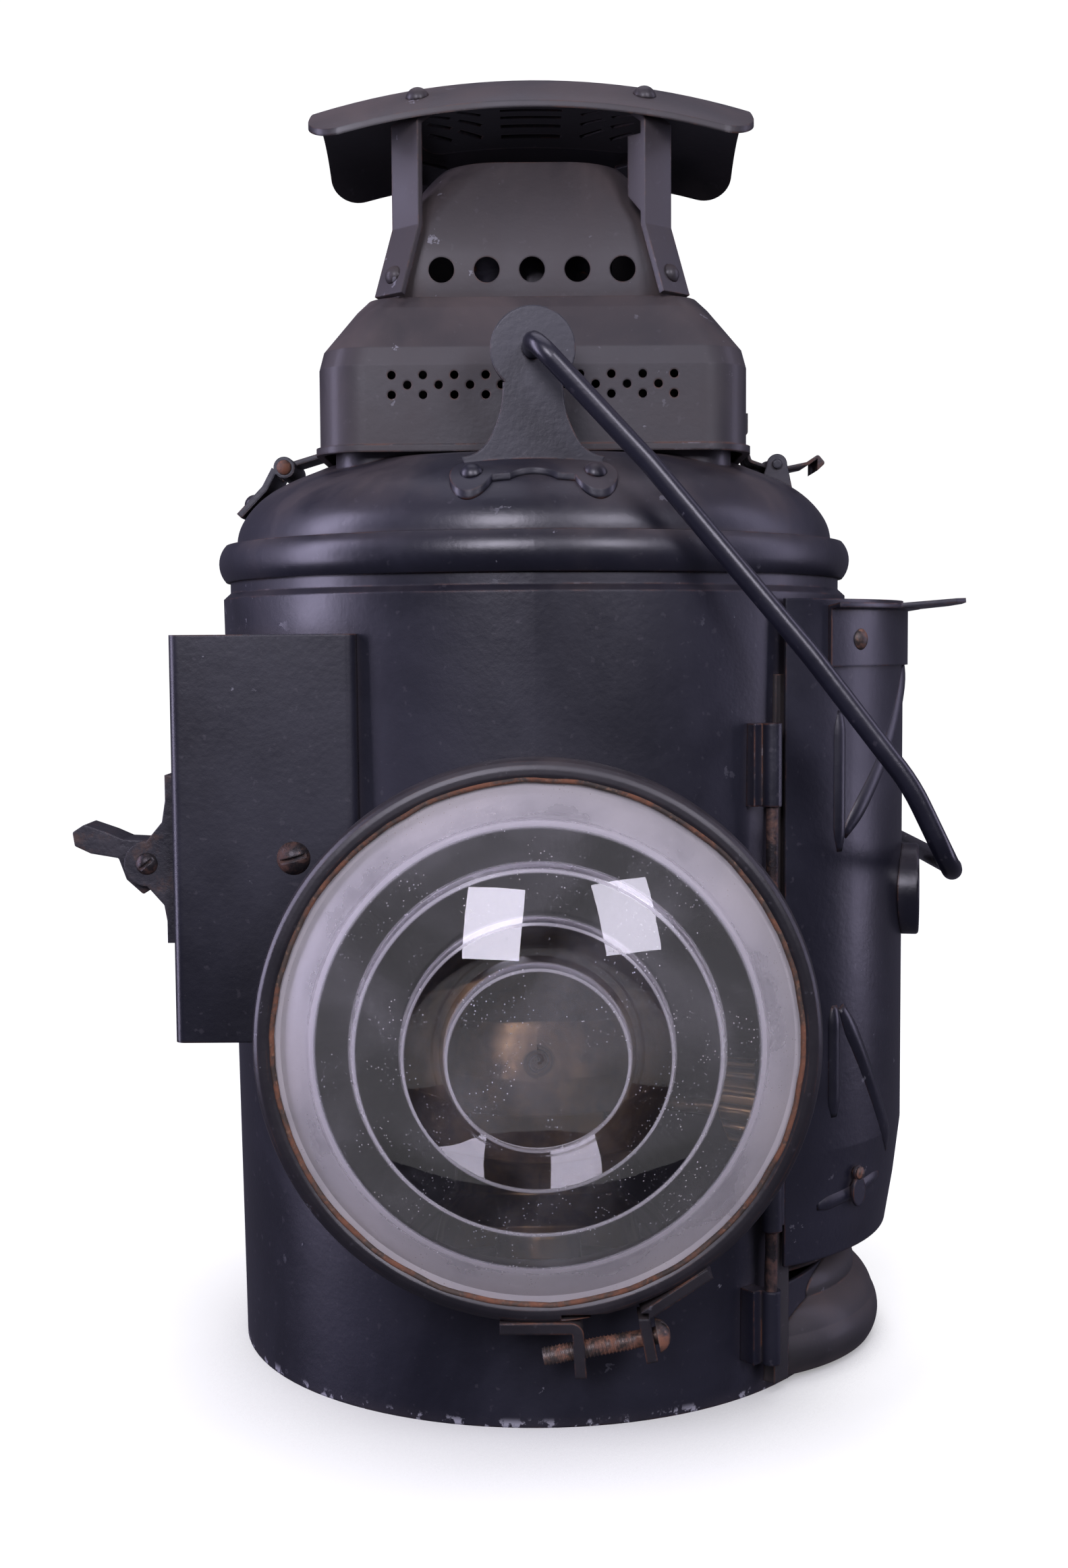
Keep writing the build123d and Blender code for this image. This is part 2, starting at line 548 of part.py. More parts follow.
with BuildPart() as bracket_rivets:
    for angle in BRACKET_RIVETS:
        raise_circle(on_bulge(angle, RIVET_Z, -1.8), 1.5, 3.4)
        add_dome(on_bulge(angle, RIVET_Z, 1.5).origin, on_bulge(angle, RIVET_Z).z_dir, 3.2, 1.6)
save(bracket_rivets, "bracket_rivets")

# Side light on the door: a screwed ring and its glass
with BuildPart() as sight_ring:
    sight_axis = Axis(around(0, DOOR_AZ, SIGHT_Z), sight_plane.z_dir)
    raise_circle(facing(114, DOOR_AZ, SIGHT_Z), SIGHT_R, SIGHT_FACE - 114)
    fillet(sight_ring.edges().filter_by(GeomType.CIRCLE).sort_by(sight_axis)[-1], 1.0)
    raise_circle(Plane(origin=bulge_axis.position + Vector(0, 0, 100)), BULGE_R + FIT, 100,
                 mode=Mode.SUBTRACT)
    raise_circle(sight_plane, 11.0, SIGHT_FACE - 1.2 - 100, mode=Mode.SUBTRACT)
    raise_circle(sight_plane, 9.6, 30, mode=Mode.SUBTRACT)
save(sight_ring, "sight_ring")

with BuildPart() as sight_glass:
    raise_circle(facing(SIGHT_FACE - 3.4, DOOR_AZ, SIGHT_Z), 10.8, 2.1)
save(sight_glass, "sight_glass")

# Drop-shaped keyhole cover that swings on a small rivet
cover_face = on_bulge(COVER_ANGLE, COVER_Z, 0.35)
with BuildPart() as keyhole_cover:
    with BuildSketch(cover_face) as cover_profile:
        Circle(2.2)
        with Locations((0, -5.8)):
            Ellipse(3.0, 4.6)
    extrude(cover_profile.sketch, amount=1.0)
    raise_circle(cover_face.offset(-2), 1.0 + FIT, 6, mode=Mode.SUBTRACT)
save(keyhole_cover, "keyhole_cover")

with BuildPart() as cover_rivet:
    raise_circle(cover_face.offset(-4), 1.0, 5.3)
    add_dome(cover_face.offset(1.3).origin, cover_face.z_dir, 2.0, 1.0)
save(cover_rivet, "cover_rivet")

# --- Chimney ------------------------------------------------------------------------------


def box_section(width, depth, corner, height):
    """Rounded rectangular section of the chimney at a height."""
    with BuildSketch(Plane.XY.offset(height)) as section:
        RectangleRounded(width, depth, corner)
    return section.sketch


# Vent box: straight walls with air holes, and a sloped shoulder
with BuildPart() as vent_box:
    extrude(box_section(VENT_W, VENT_D, 15, VENT_LOW), amount=VENT_SHOULDER - VENT_LOW)
    levels = ((VENT_W, VENT_D, 15, VENT_SHOULDER), (126.8, 112.4, 15, 312.4), (107.6, 94.6, 13, 325.4),
              (101.0, 88.0, 12, VENT_TOP))
    for lower, upper in zip(levels, levels[1:]):
        loft([box_section(*lower), box_section(*upper)])
    extrude(box_section(VENT_W + 2.4, VENT_D + 2.4, 16, VENT_LOW), amount=2.2)
    extrude(box_section(VENT_W - 2 * SHEET, VENT_D - 2 * SHEET, 15 - SHEET, VENT_LOW - 1),
            amount=VENT_SHOULDER - VENT_LOW, mode=Mode.SUBTRACT)
    loft([box_section(VENT_W - 2 * SHEET, VENT_D - 2 * SHEET, 15 - SHEET, VENT_SHOULDER - 1),
          box_section(99, 86, 10, VENT_TOP - SHEET)], mode=Mode.SUBTRACT)
    extrude(box_section(80, 70, 6, VENT_TOP - 4), amount=8, mode=Mode.SUBTRACT)
    for columns, shift in ((10, 2.9), (9, 0), (10, -2.9)):
        with BuildSketch(Plane.XZ.offset(-VENT_D)) as vent_holes:
            with Locations((0, 301 + shift)):
                with GridLocations(9.3, 1, columns, 1):
                    Circle(1.25)
        extrude(vent_holes.sketch, amount=2 * VENT_D, mode=Mode.SUBTRACT)
save(vent_box, "vent_box")

# Chimney cone above the vent box, with a row of round holes on each side
with BuildPart() as chimney_cone:
    levels = ((87, 78, 8, VENT_TOP), (86, 77, 9, 343), (76, 68, 13, 359), (58, 53, 19, 373))
    loft([box_section(*level) for level in levels])
    loft([box_section(width - 2.2, depth - 2.2, corner - 1.1, height)
          for width, depth, corner, height in levels], mode=Mode.SUBTRACT)
    for flat in (Plane.XZ, Plane.YZ):
        with BuildSketch(flat.offset(-60)) as cone_holes:
            with Locations((0, 338)):
                with GridLocations(13.8, 1, 5, 1):
                    Circle(3.9)
        extrude(cone_holes.sketch, amount=120, mode=Mode.SUBTRACT)
save(chimney_cone, "chimney_cone")

# Inner flue that carries the draught up through the vent box
with BuildPart() as inner_flue:
    turn(upright(0), [
        (30, 298), (26, 325.2), (26, 350), (25, 350), (25, 325.0), (29, 298)])
    turn(upright(0), [
        (25.6, VENT_TOP - 2.6), (41, VENT_TOP - 2.6), (41, VENT_TOP - 1.4), (25.6, VENT_TOP - 1.4)])
save(inner_flue, "inner_flue")


def bowed_sheet(plan, drop, thickness):
    """Cut the solid in progress to a sheet bowed along both X and Y."""
    extrude(plan, amount=HOOD_TOP + 5 - 370)
    crown = HOOD_TOP - drop
    centre = Vector(0, 0, crown - HOOD_Y_RADIUS)
    with BuildSketch(Plane.YZ) as band:
        with Locations((centre.Y, centre.Z)):
            Circle(HOOD_Y_RADIUS)
            Circle(HOOD_Y_RADIUS - thickness, mode=Mode.SUBTRACT)
        with Locations((0, crown - HOOD_Y_RADIUS - 60)):
            Rectangle(400, 200, mode=Mode.SUBTRACT)
    hub = Axis((0, 0, crown - HOOD_X_RADIUS), (0, 1, 0))
    revolve(band.sketch, axis=hub, mode=Mode.INTERSECT)


def hood_height(x, y, drop=0.0):
    """Height of the hood's outer surface, less a drop, over a point."""
    ridge = (HOOD_Y_RADIUS**2 - y**2) ** 0.5 - HOOD_Y_RADIUS
    reach = HOOD_X_RADIUS + ridge
    return HOOD_TOP - drop - HOOD_X_RADIUS + (reach**2 - x**2) ** 0.5


# Rain hood: a rounded sheet bowed both ways
with BuildPart() as hood:
    bowed_sheet(box_section(HOOD_W, HOOD_D, 11, 370), 0.0, 1.6)
save(hood, "hood")

# Louvred liner under the hood
with BuildPart() as hood_liner:
    bowed_sheet(box_section(74, 56, 8, 370), 4.4, 1.2)
    with BuildSketch(Plane.XY.offset(360)) as slits:
        with GridLocations(1, 6.2, 1, 8):
            Rectangle(20, 1.8)
        for column, lean in ((-20, 35), (20, -35), (-30, 35), (30, -35)):
            with Locations((column, 0)):
                with GridLocations(1, 7.6, 1, 6):
                    Rectangle(9, 1.6, rotation=lean)
    extrude(slits.sketch, amount=50, mode=Mode.SUBTRACT)
save(hood_liner, "hood_liner")

# Four strap legs from the cone's corners to the hood
LEG_OUT = 57.4
TAB_IN = 47.0
LEG_DROP = 4.4
with BuildPart() as hood_legs:
    for x_side, y_side in ((1, 1), (1, -1), (-1, 1), (-1, -1)):
        outward = Vector(x_side, y_side, 0).normalized()
        leg_plane = Plane(origin=(0, 0, 0), x_dir=outward, z_dir=outward.cross(Vector(0, 0, 1)))
        reach = LEG_OUT / 2**0.5
        top = hood_height(reach, reach, LEG_DROP)
        tab = hood_height(TAB_IN / 2**0.5, TAB_IN / 2**0.5, LEG_DROP)
        raise_strip(leg_plane, [
            (LEG_OUT + 4.4, VENT_TOP + 0.8), (LEG_OUT - 0.2, VENT_TOP + 14), (LEG_OUT - 3, 351),
            (LEG_OUT - 3, top + 0.4), (TAB_IN, tab)], 1.8, 12.0, bend=1.2, side=Side.LEFT)
        rib_plane = Plane(origin=outward.cross(Vector(0, 0, 1)) * 6.0, x_dir=outward,
                          z_dir=outward.cross(Vector(0, 0, 1)))
        raise_outline(rib_plane, [
            (LEG_OUT - 10, 360), (LEG_OUT - 4.2, 354), (LEG_OUT - 4.2, top - 4), (LEG_OUT - 10, top - 4)],
            -1.6)
save(hood_legs, "hood_legs")

with BuildPart() as leg_rivets:
    for x_side, y_side in ((1, 1), (1, -1), (-1, 1), (-1, -1)):
        outward = Vector(x_side, y_side, 0).normalized()
        face = outward * 13.7 + Vector(0, 0, 4.7)
        add_dome(outward * (LEG_OUT + 2.25) + Vector(0, 0, 336.0), face.normalized(), 3.0, 2.0)
save(leg_rivets, "leg_rivets")

with BuildPart() as hood_rivets:
    spot = TAB_IN / 2**0.5 + 1.4
    hub_z = HOOD_TOP - HOOD_X_RADIUS
    for x_side, y_side in ((1, 1), (1, -1), (-1, 1), (-1, -1)):
        rivet_at = Vector(x_side * spot, y_side * spot, hood_height(spot, spot) + 0.02)
        ridge = Vector(rivet_at.X, 0, rivet_at.Z - hub_z).normalized() * (HOOD_X_RADIUS - HOOD_Y_RADIUS)
        add_dome(rivet_at, rivet_at - ridge - Vector(0, 0, hub_z), 3.6, 2.6)
save(hood_rivets, "hood_rivets")

# Roof hinge: a strap on the dome, its pin, and a strap on the vent box
with BuildPart() as hinge_lower:
    front_xz = Plane(origin=(0, 0, 0), x_dir=(1, 0, 0), z_dir=(0, -1, 0))
    raise_strip(front_xz, [(-93.4, 265.0), (-85.0, 273.8), (HINGE_X - 2.2, HINGE_Z - 1.0)], 2.0, 30, bend=4.0,
                side=Side.LEFT)
    hinge_plane = Plane(origin=(HINGE_X, 0, HINGE_Z), z_dir=(0, 1, 0))
    raise_circle(hinge_plane, 3.4, 15, both=True)
    raise_circle(hinge_plane, 1.7, 16, both=True, mode=Mode.SUBTRACT)
    raise_circle(hinge_plane, 4.2, 8.3, both=True, mode=Mode.SUBTRACT)
    add_roof_form(0.05, RING_BASE, mode=Mode.SUBTRACT)
save(hinge_lower, "hinge_lower")

with BuildPart() as hinge_pin:
    raise_circle(Plane(origin=(HINGE_X, 0, HINGE_Z), z_dir=(0, 1, 0)), 1.7 - 0.03, 15.4, both=True)
    for end in (-1, 1):
        add_dome((HINGE_X, end * 15.1, HINGE_Z), (0, end, 0), 2.4, 1.4)
save(hinge_pin, "hinge_pin")

with BuildPart() as hinge_upper:
    wall_x = -VENT_W / 2 - 0.1
    raise_strip(front_xz, [(wall_x, 305), (wall_x, 287.2), (-68.4, 284.6), (HINGE_X + 2.4, HINGE_Z + 1.0)],
                1.6, 16, bend=1.6, side=Side.RIGHT)
    raise_circle(Plane(origin=(HINGE_X, 0, HINGE_Z), z_dir=(0, 1, 0)), 3.4, 8, both=True)
    raise_circle(Plane(origin=(HINGE_X, 0, HINGE_Z), z_dir=(0, 1, 0)), 1.67 + FIT, 20, both=True,
                 mode=Mode.SUBTRACT)
save(hinge_upper, "hinge_upper")

with BuildPart() as hinge_rivets:
    for y_spot in (-9, 9):
        add_dome((-90.9, y_spot, 270.6), (-0.723, 0, 0.691), 3.0, 1.8)
save(hinge_rivets, "hinge_rivets")

# Lift tab on the free side of the vent box
with BuildPart() as lift_tab:
    raise_strip(front_xz, [(VENT_W / 2 + 0.05, 301), (VENT_W / 2 + 0.05, 293), (VENT_W / 2 + 4.6, 289.6),
                           (VENT_W / 2 + 4.6, 298)], 1.2, 14, bend=1.3, side=Side.LEFT)
save(lift_tab, "lift_tab")

# Sprung catch that hooks over the vent box's rim, with its pivot lugs
CATCH_X = 78.0
CATCH_Z = 281.2
with BuildPart() as catch_lugs:
    for y_side in (-1, 1):
        lug_side = Plane(origin=(0, y_side * 12.2, 0), z_dir=(0, -1, 0), x_dir=(1, 0, 0))
        with BuildSketch(lug_side) as lug_profile:
            with BuildLine():
                Polyline((CATCH_X - 6, 272), (CATCH_X + 6, 268), (CATCH_X + 3.2, CATCH_Z),
                         (CATCH_X - 3.2, CATCH_Z), close=True)
            make_face()
            with Locations((CATCH_X, CATCH_Z)):
                Circle(3.2)
        extrude(lug_profile.sketch, amount=0.8, both=True)
    raise_circle(Plane(origin=(CATCH_X, 0, CATCH_Z), z_dir=(0, 1, 0)), 1.5, 14, both=True)
    add_roof_form(0.05, RING_BASE, mode=Mode.SUBTRACT)
save(catch_lugs, "catch_lugs")

with BuildPart() as roof_catch:
    raise_strip(front_xz, [
        (66.1, 285.4), (69.2, 285.4), (70.0, 282.8), (CATCH_X, 280.0), (88.0, 282.0), (91.4, 284.4),
        (93.8, 281.6), (91.2, 279.2)], 1.0, 22, bend=0.9, side=Side.RIGHT)
    raise_circle(Plane(origin=(CATCH_X, 0, CATCH_Z), z_dir=(0, 1, 0)), 2.7, 11, both=True)
    raise_circle(Plane(origin=(CATCH_X, 0, CATCH_Z), z_dir=(0, 1, 0)), 1.5 + FIT, 20, both=True,
                 mode=Mode.SUBTRACT)
save(roof_catch, "roof_catch")

# --- Bail ---------------------------------------------------------------------------------


def add_lug(front_side):
    """Build one bail lug: a round head, a waist and a foot that follows the roof."""
    with BuildSketch(Plane.XY.offset(260)) as foot_plan:
        with Locations((0, front_side * 82.0)):
            Rectangle(34.8, 12.0)
        with Locations((-17.4, front_side * 85.2), (17.4, front_side * 85.2)):
            Circle(6.4)
        with Locations((0, front_side * 98.4)):
            Circle(12.4, mode=Mode.SUBTRACT)
    extrude(foot_plan.sketch, amount=22)
    add_roof_form(1.6, RING_BASE, mode=Mode.INTERSECT)
    lug_plane = Plane(origin=(0, front_side * LUG_Y, 0), x_dir=(-front_side, 0, 0), z_dir=(0, front_side, 0))
    with BuildSketch(lug_plane) as plate:
        with BuildLine():
            Polyline((20.5, 277.6), (17.0, 270.0), (-17.0, 270.0), (-20.5, 277.6))
            Spline((20.5, 277.6), (11.4, 285.0), (8.6, 298.6), tangents=((-1, 0.1), (0, 1)))
            Line((8.6, 298.6), (-8.6, 298.6))
            Spline((-8.6, 298.6), (-11.4, 285.0), (-20.5, 277.6), tangents=((0, -1), (-1, -0.1)))
        make_face()
        with Locations((0, BAIL_Z)):
            Circle(12.2)
    extrude(plate.sketch, amount=-LUG_T)
    add_roof_form(0.05, RING_BASE, mode=Mode.SUBTRACT)
    raise_circle(Plane(origin=(0, front_side * 60, BAIL_Z), z_dir=(0, front_side, 0)), BAIL_ROD_R + FIT, 40,
                 mode=Mode.SUBTRACT)


with BuildPart() as bail_lug_front:
    add_lug(-1)
save(bail_lug_front, "bail_lug_front")

with BuildPart() as bail_lug_rear:
    add_lug(1)
save(bail_lug_rear, "bail_lug_rear")

with BuildPart() as lug_rivets:
    for azimuth in (-11.6, 11.6, 168.4, 191.6):
        add_dome(Vector(*around(87.2, azimuth, 272.8)), Vector(*around(0.7, azimuth, 0.71)), 3.5, 2.4)
    add_roof_form(1.7, RING_BASE, mode=Mode.SUBTRACT)
save(lug_rivets, "lug_rivets")

# Wire bail: pivot ends through the lugs, bowed legs and a bowed grip
BAIL_HALF = [
    (0, -75.6, BAIL_Z), (0, -BAIL_LEG_Y, BAIL_Z), (32.0, -BAIL_LEG_Y, 273.6), (76.0, -BAIL_LEG_Y, 221.2),
    (104.6, -BAIL_LEG_Y, 184.0), (116.0, -BAIL_LEG_Y, 160.4), (128.3, -44, 155.0)]
BAIL_BENDS = [7.5, 60.0, 120.0, 60.0, 12.0, 90.0]
with BuildPart() as bail:
    with BuildLine() as bail_path:
        rear_half = [(x, -y, z) for x, y, z in BAIL_HALF[::-1]]
        FilletPolyline(*BAIL_HALF, *rear_half, radius=BAIL_BENDS + BAIL_BENDS[::-1])
    with BuildSketch(Plane(origin=BAIL_HALF[0], z_dir=(0, -1, 0))) as rod_section:
        Circle(BAIL_ROD_R)
    sweep(rod_section.sketch, path=bail_path.line)
    for y_side in (-1, 1):
        raise_circle(Plane(origin=(0, y_side * 75.7, BAIL_Z), z_dir=(0, -y_side, 0)), 4.6, 1.8)
save(bail, "bail")

# --- Burner -------------------------------------------------------------------------------

# Oil fount with a rounded shoulder, standing on the pan
with BuildPart() as oil_fount:
    foot = PAN_Z + 0.02
    turn(upright(0), [
        (0, foot), (FOUNT_R - 3, foot), (FOUNT_R, foot + 3), (FOUNT_R, FOUNT_TOP - 7),
        (FOUNT_R - 2, FOUNT_TOP - 2.4),
        (FOUNT_R - 7, FOUNT_TOP), (0, FOUNT_TOP)])
    turn(upright(0), [
        (0, foot + 1), (FOUNT_R - 3.4, foot + 1), (FOUNT_R - 1, foot + 3.4), (FOUNT_R - 1, FOUNT_TOP - 7.2),
        (FOUNT_R - 2.8, FOUNT_TOP - 3.2), (FOUNT_R - 7.2, FOUNT_TOP - 1), (0, FOUNT_TOP - 1)],
        mode=Mode.SUBTRACT)
    raise_circle(Plane.XY.offset(FOUNT_TOP - 3), 14.1, 6, mode=Mode.SUBTRACT)
    raise_circle(Plane(origin=(0, -36, FOUNT_TOP - 3)), 6.1, 6, mode=Mode.SUBTRACT)
save(oil_fount, "oil_fount")

with BuildPart() as fount_seat:
    turn(upright(0), [
        (FOUNT_R + 0.6, PAN_Z + 0.02), (FOUNT_R + 3.0, PAN_Z + 0.02), (FOUNT_R + 3.0, PAN_Z + 8),
        (FOUNT_R + 0.6, PAN_Z + 8)])
save(fount_seat, "fount_seat")

with BuildPart() as filler_cap:
    raise_circle(Plane(origin=(0, -36, FOUNT_TOP - 3)), 6.0, 3.1)
    raise_circle(Plane(origin=(0, -36, FOUNT_TOP + 0.05)), 9.0, 4.2)
    fillet(filler_cap.faces().sort_by(Axis.Z)[-1].edges(), 1.0)
save(filler_cap, "filler_cap")

# Burner body screwed into the fount, with the flat wick tube through it
with BuildPart() as burner_body:
    raise_circle(Plane.XY.offset(FOUNT_TOP - 2.5), 14.0, 4)
    turn(upright(0), [(0, FOUNT_TOP + 0.05), (19, FOUNT_TOP + 0.05), (19, 62), (14, 66), (14, 72), (0, 72)])
    with BuildSketch(Plane.XY.offset(70)) as bearing_posts:
        with Locations((-12.3, WICK_SHAFT_Y), (12.3, WICK_SHAFT_Y)):
            Rectangle(3.0, 5.0)
    extrude(bearing_posts.sketch, amount=10.8)
    raise_circle(Plane(origin=(-20, WICK_SHAFT_Y, WICK_SHAFT_Z), z_dir=(1, 0, 0)), SHAFT_R + FIT, 40,
                 mode=Mode.SUBTRACT)
    with BuildSketch(Plane.XY.offset(40)) as tube_hole:
        Rectangle(20.2, 6.2)
    extrude(tube_hole.sketch, amount=40, mode=Mode.SUBTRACT)
save(burner_body, "burner_body")

with BuildPart() as wick_tube:
    with BuildSketch(Plane.XY.offset(50)) as tube_outer:
        Rectangle(20, 6)
    extrude(tube_outer.sketch, amount=52)
    with BuildSketch(Plane.XY.offset(49)) as tube_inner:
        Rectangle(17.2, 3.2)
    extrude(tube_inner.sketch, amount=60, mode=Mode.SUBTRACT)
    with BuildSketch(Plane(origin=(0, 5, WICK_SHAFT_Z), z_dir=(0, -1, 0), x_dir=(1, 0, 0))) as wheel_window:
        with GridLocations(8, 1, 2, 1):
            Rectangle(3.4, 10)
    extrude(wheel_window.sketch, amount=4.4, mode=Mode.SUBTRACT)
save(wick_tube, "wick_tube")

with BuildPart() as burner_gallery:
    turn(upright(0), [
        (24, 82), (24, 88), (21, 96), (13.4, 103), (12.6, 102.2), (20, 95.2), (22.8, 88), (22.8, 83.2),
        (11.2, 83.2), (11.2, 82)])
    with BuildSketch(Plane.XY.offset(70)) as draught_holes:
        with PolarLocations(17.5, 16):
            Circle(1.6)
    extrude(draught_holes.sketch, amount=15, mode=Mode.SUBTRACT)
    turn(upright(0), [(10.6, 82), (11.4, 82), (11.4, 84.5), (10.6, 84.5)])
save(burner_gallery, "burner_gallery")

# Flat wick inside its tube
with BuildPart() as wick:
    with BuildSketch(Plane.XY.offset(42)) as wick_section:
        Rectangle(16.4, 2.4)
    extrude(wick_section.sketch, amount=63)
save(wick, "wick")

# Toothed wheels on a shaft that raise the wick, and the knob that turns them
with BuildPart() as wick_shaft:
    raise_circle(Plane(origin=(-15, WICK_SHAFT_Y, WICK_SHAFT_Z), z_dir=(1, 0, 0)), SHAFT_R, 57)
    for wheel_x in (-4, 4):
        with BuildSketch(Plane(origin=(wheel_x, WICK_SHAFT_Y, WICK_SHAFT_Z), z_dir=(1, 0, 0))) as wheel:
            Circle(3.4)
            with PolarLocations(3.6, 10):
                Circle(0.55)
        extrude(wheel.sketch, amount=0.8, both=True)
save(wick_shaft, "wick_shaft")

with BuildPart() as wick_knob:
    raise_circle(Plane(origin=(37, WICK_SHAFT_Y, WICK_SHAFT_Z), z_dir=(1, 0, 0)), 8.0, 5.6)
    with BuildSketch(Plane(origin=(36, WICK_SHAFT_Y, WICK_SHAFT_Z), z_dir=(1, 0, 0))) as flutes:
        with PolarLocations(8.2, 16):
            Circle(0.8)
    extrude(flutes.sketch, amount=8, mode=Mode.SUBTRACT)
    raise_circle(Plane(origin=(36, WICK_SHAFT_Y, WICK_SHAFT_Z), z_dir=(1, 0, 0)), SHAFT_R, 8,
                 mode=Mode.SUBTRACT)
save(wick_knob, "wick_knob")
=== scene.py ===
"""Looks for the railway signal lamp: materials, detailed sheet-metal pieces, floor, light and camera.

Metres, +Z up, the lens faces -Y. Azimuths are measured from the front (-Y) towards the right (+X).
"""
import math

import bmesh
import bpy
from mathutils import Matrix, Vector, noise


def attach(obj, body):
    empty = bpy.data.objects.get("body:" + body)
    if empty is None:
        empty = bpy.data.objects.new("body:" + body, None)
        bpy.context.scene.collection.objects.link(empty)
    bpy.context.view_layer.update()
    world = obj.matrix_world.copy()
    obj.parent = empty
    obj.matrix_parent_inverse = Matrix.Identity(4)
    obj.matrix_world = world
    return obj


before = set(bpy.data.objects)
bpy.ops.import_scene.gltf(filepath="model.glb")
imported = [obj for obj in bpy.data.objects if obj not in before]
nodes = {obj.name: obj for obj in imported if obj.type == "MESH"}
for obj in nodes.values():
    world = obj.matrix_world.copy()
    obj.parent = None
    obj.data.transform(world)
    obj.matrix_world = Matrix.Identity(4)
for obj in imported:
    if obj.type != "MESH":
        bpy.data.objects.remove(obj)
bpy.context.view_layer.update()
scene = bpy.context.scene
MM = 0.001  # metres in a millimetre


# --- Node graphs --------------------------------------------------------------------------


class Graph:
    """A material's node tree, with short calls for the nodes used here."""

    def __init__(self, name):
        self.material = bpy.data.materials.new(name)
        self.material.use_nodes = True
        self.tree = self.material.node_tree
        self.shader = self.tree.nodes["Principled BSDF"]
        self.coords = self.tree.nodes.new("ShaderNodeTexCoord")

    def set(self, socket, value):
        """Links an output to a socket, or sets a plain value on it."""
        if isinstance(value, bpy.types.NodeSocket):
            self.tree.links.new(value, socket)
        else:
            socket.default_value = value

    def noise(self, scale, detail=4.0, roughness=0.55, distortion=0.0, stretch=None):
        """Fractal noise over the piece, from 0 to 1. A stretch scales X, Y and Z separately."""
        node = self.tree.nodes.new("ShaderNodeTexNoise")
        node.inputs["Scale"].default_value = scale
        node.inputs["Detail"].default_value = detail
        node.inputs["Roughness"].default_value = roughness
        node.inputs["Distortion"].default_value = distortion
        vector = self.coords.outputs["Object"]
        if stretch:
            mapping = self.tree.nodes.new("ShaderNodeMapping")
            mapping.inputs["Scale"].default_value = stretch
            self.set(mapping.inputs["Vector"], vector)
            vector = mapping.outputs["Vector"]
        self.set(node.inputs["Vector"], vector)
        return node.outputs["Fac"]

    def cells(self, scale, randomness=1.0):
        """Distance to the nearest of scattered points."""
        node = self.tree.nodes.new("ShaderNodeTexVoronoi")
        node.inputs["Scale"].default_value = scale
        node.inputs["Randomness"].default_value = randomness
        self.set(node.inputs["Vector"], self.coords.outputs["Object"])
        return node.outputs["Distance"]

    def span(self, value, low, high, to_low=0.0, to_high=1.0):
        """Smooth step of a value between two limits."""
        node = self.tree.nodes.new("ShaderNodeMapRange")
        node.interpolation_type = "SMOOTHSTEP"
        for name, given in (("Value", value), ("From Min", low), ("From Max", high),
                            ("To Min", to_low), ("To Max", to_high)):
            self.set(node.inputs[name], given)
        return node.outputs["Result"]

    def math(self, operation, first, second=0.0):
        """One arithmetic step, kept between 0 and 1 for products and sums."""
        node = self.tree.nodes.new("ShaderNodeMath")
        node.operation = operation
        node.use_clamp = operation in ("MULTIPLY", "ADD")
        self.set(node.inputs[0], first)
        self.set(node.inputs[1], second)
        return node.outputs[0]

    def mix(self, share, first, second):
        """Blend of two colours."""
        node = self.tree.nodes.new("ShaderNodeMix")
        node.data_type = "RGBA"
        self.set(node.inputs["Factor"], share)
        for name, given in (("A", first), ("B", second)):
            socket = [s for s in node.inputs if s.name == name and s.type == "RGBA"][0]
            self.set(socket, given if isinstance(given, bpy.types.NodeSocket) else (*given, 1.0))
        return [s for s in node.outputs if s.type == "RGBA"][0]

    def place(self, axis):
        """One object coordinate, in metres."""
        node = self.tree.nodes.new("ShaderNodeSeparateXYZ")
        self.set(node.inputs[0], self.coords.outputs["Object"])
        return node.outputs[axis]

    def upward(self):
        """How far the surface faces up, from -1 to 1, in the piece's own frame."""
        node = self.tree.nodes.new("ShaderNodeSeparateXYZ")
        self.set(node.inputs[0], self.coords.outputs["Normal"])
        return node.outputs["Z"]

    def edge(self, radius):
        """Rounded shading normal, and a mask that is high along sharp edges."""
        bevel = self.tree.nodes.new("ShaderNodeBevel")
        bevel.samples = 4
        bevel.inputs["Radius"].default_value = radius
        geometry = self.tree.nodes.new("ShaderNodeNewGeometry")
        product = self.tree.nodes.new("ShaderNodeVectorMath")
        product.operation = "DOT_PRODUCT"
        self.set(product.inputs[0], bevel.outputs["Normal"])
        self.set(product.inputs[1], geometry.outputs["Normal"])
        return bevel.outputs["Normal"], self.span(product.outputs["Value"], 0.995, 0.80)

    def crevice(self, distance):
        """High where other surfaces are close by."""
        node = self.tree.nodes.new("ShaderNodeAmbientOcclusion")
        node.samples = 4
        node.inputs["Distance"].default_value = distance
        return self.math("SUBTRACT", 1.0, node.outputs["AO"])

    def bump(self, height, distance, normal=None, strength=1.0):
        """Normal with a height map on it."""
        node = self.tree.nodes.new("ShaderNodeBump")
        node.inputs["Strength"].default_value = strength
        node.inputs["Distance"].default_value = distance
        self.set(node.inputs["Height"], height)
        if normal is not None:
            self.set(node.inputs["Normal"], normal)
        return node.outputs["Normal"]

    def finish(self, **values):
        """Sets the shader's sockets by name, with underscores for spaces."""
        for name, value in values.items():
            socket = self.shader.inputs[name.replace("_", " ")]
            if not isinstance(value, bpy.types.NodeSocket) and socket.type == "RGBA":
                value = (*value, 1.0)
            self.set(socket, value)
        return self.material


DUST = (0.066, 0.051, 0.047)
RUST = (0.150, 0.055, 0.024)
CHIP = (0.260, 0.260, 0.290)


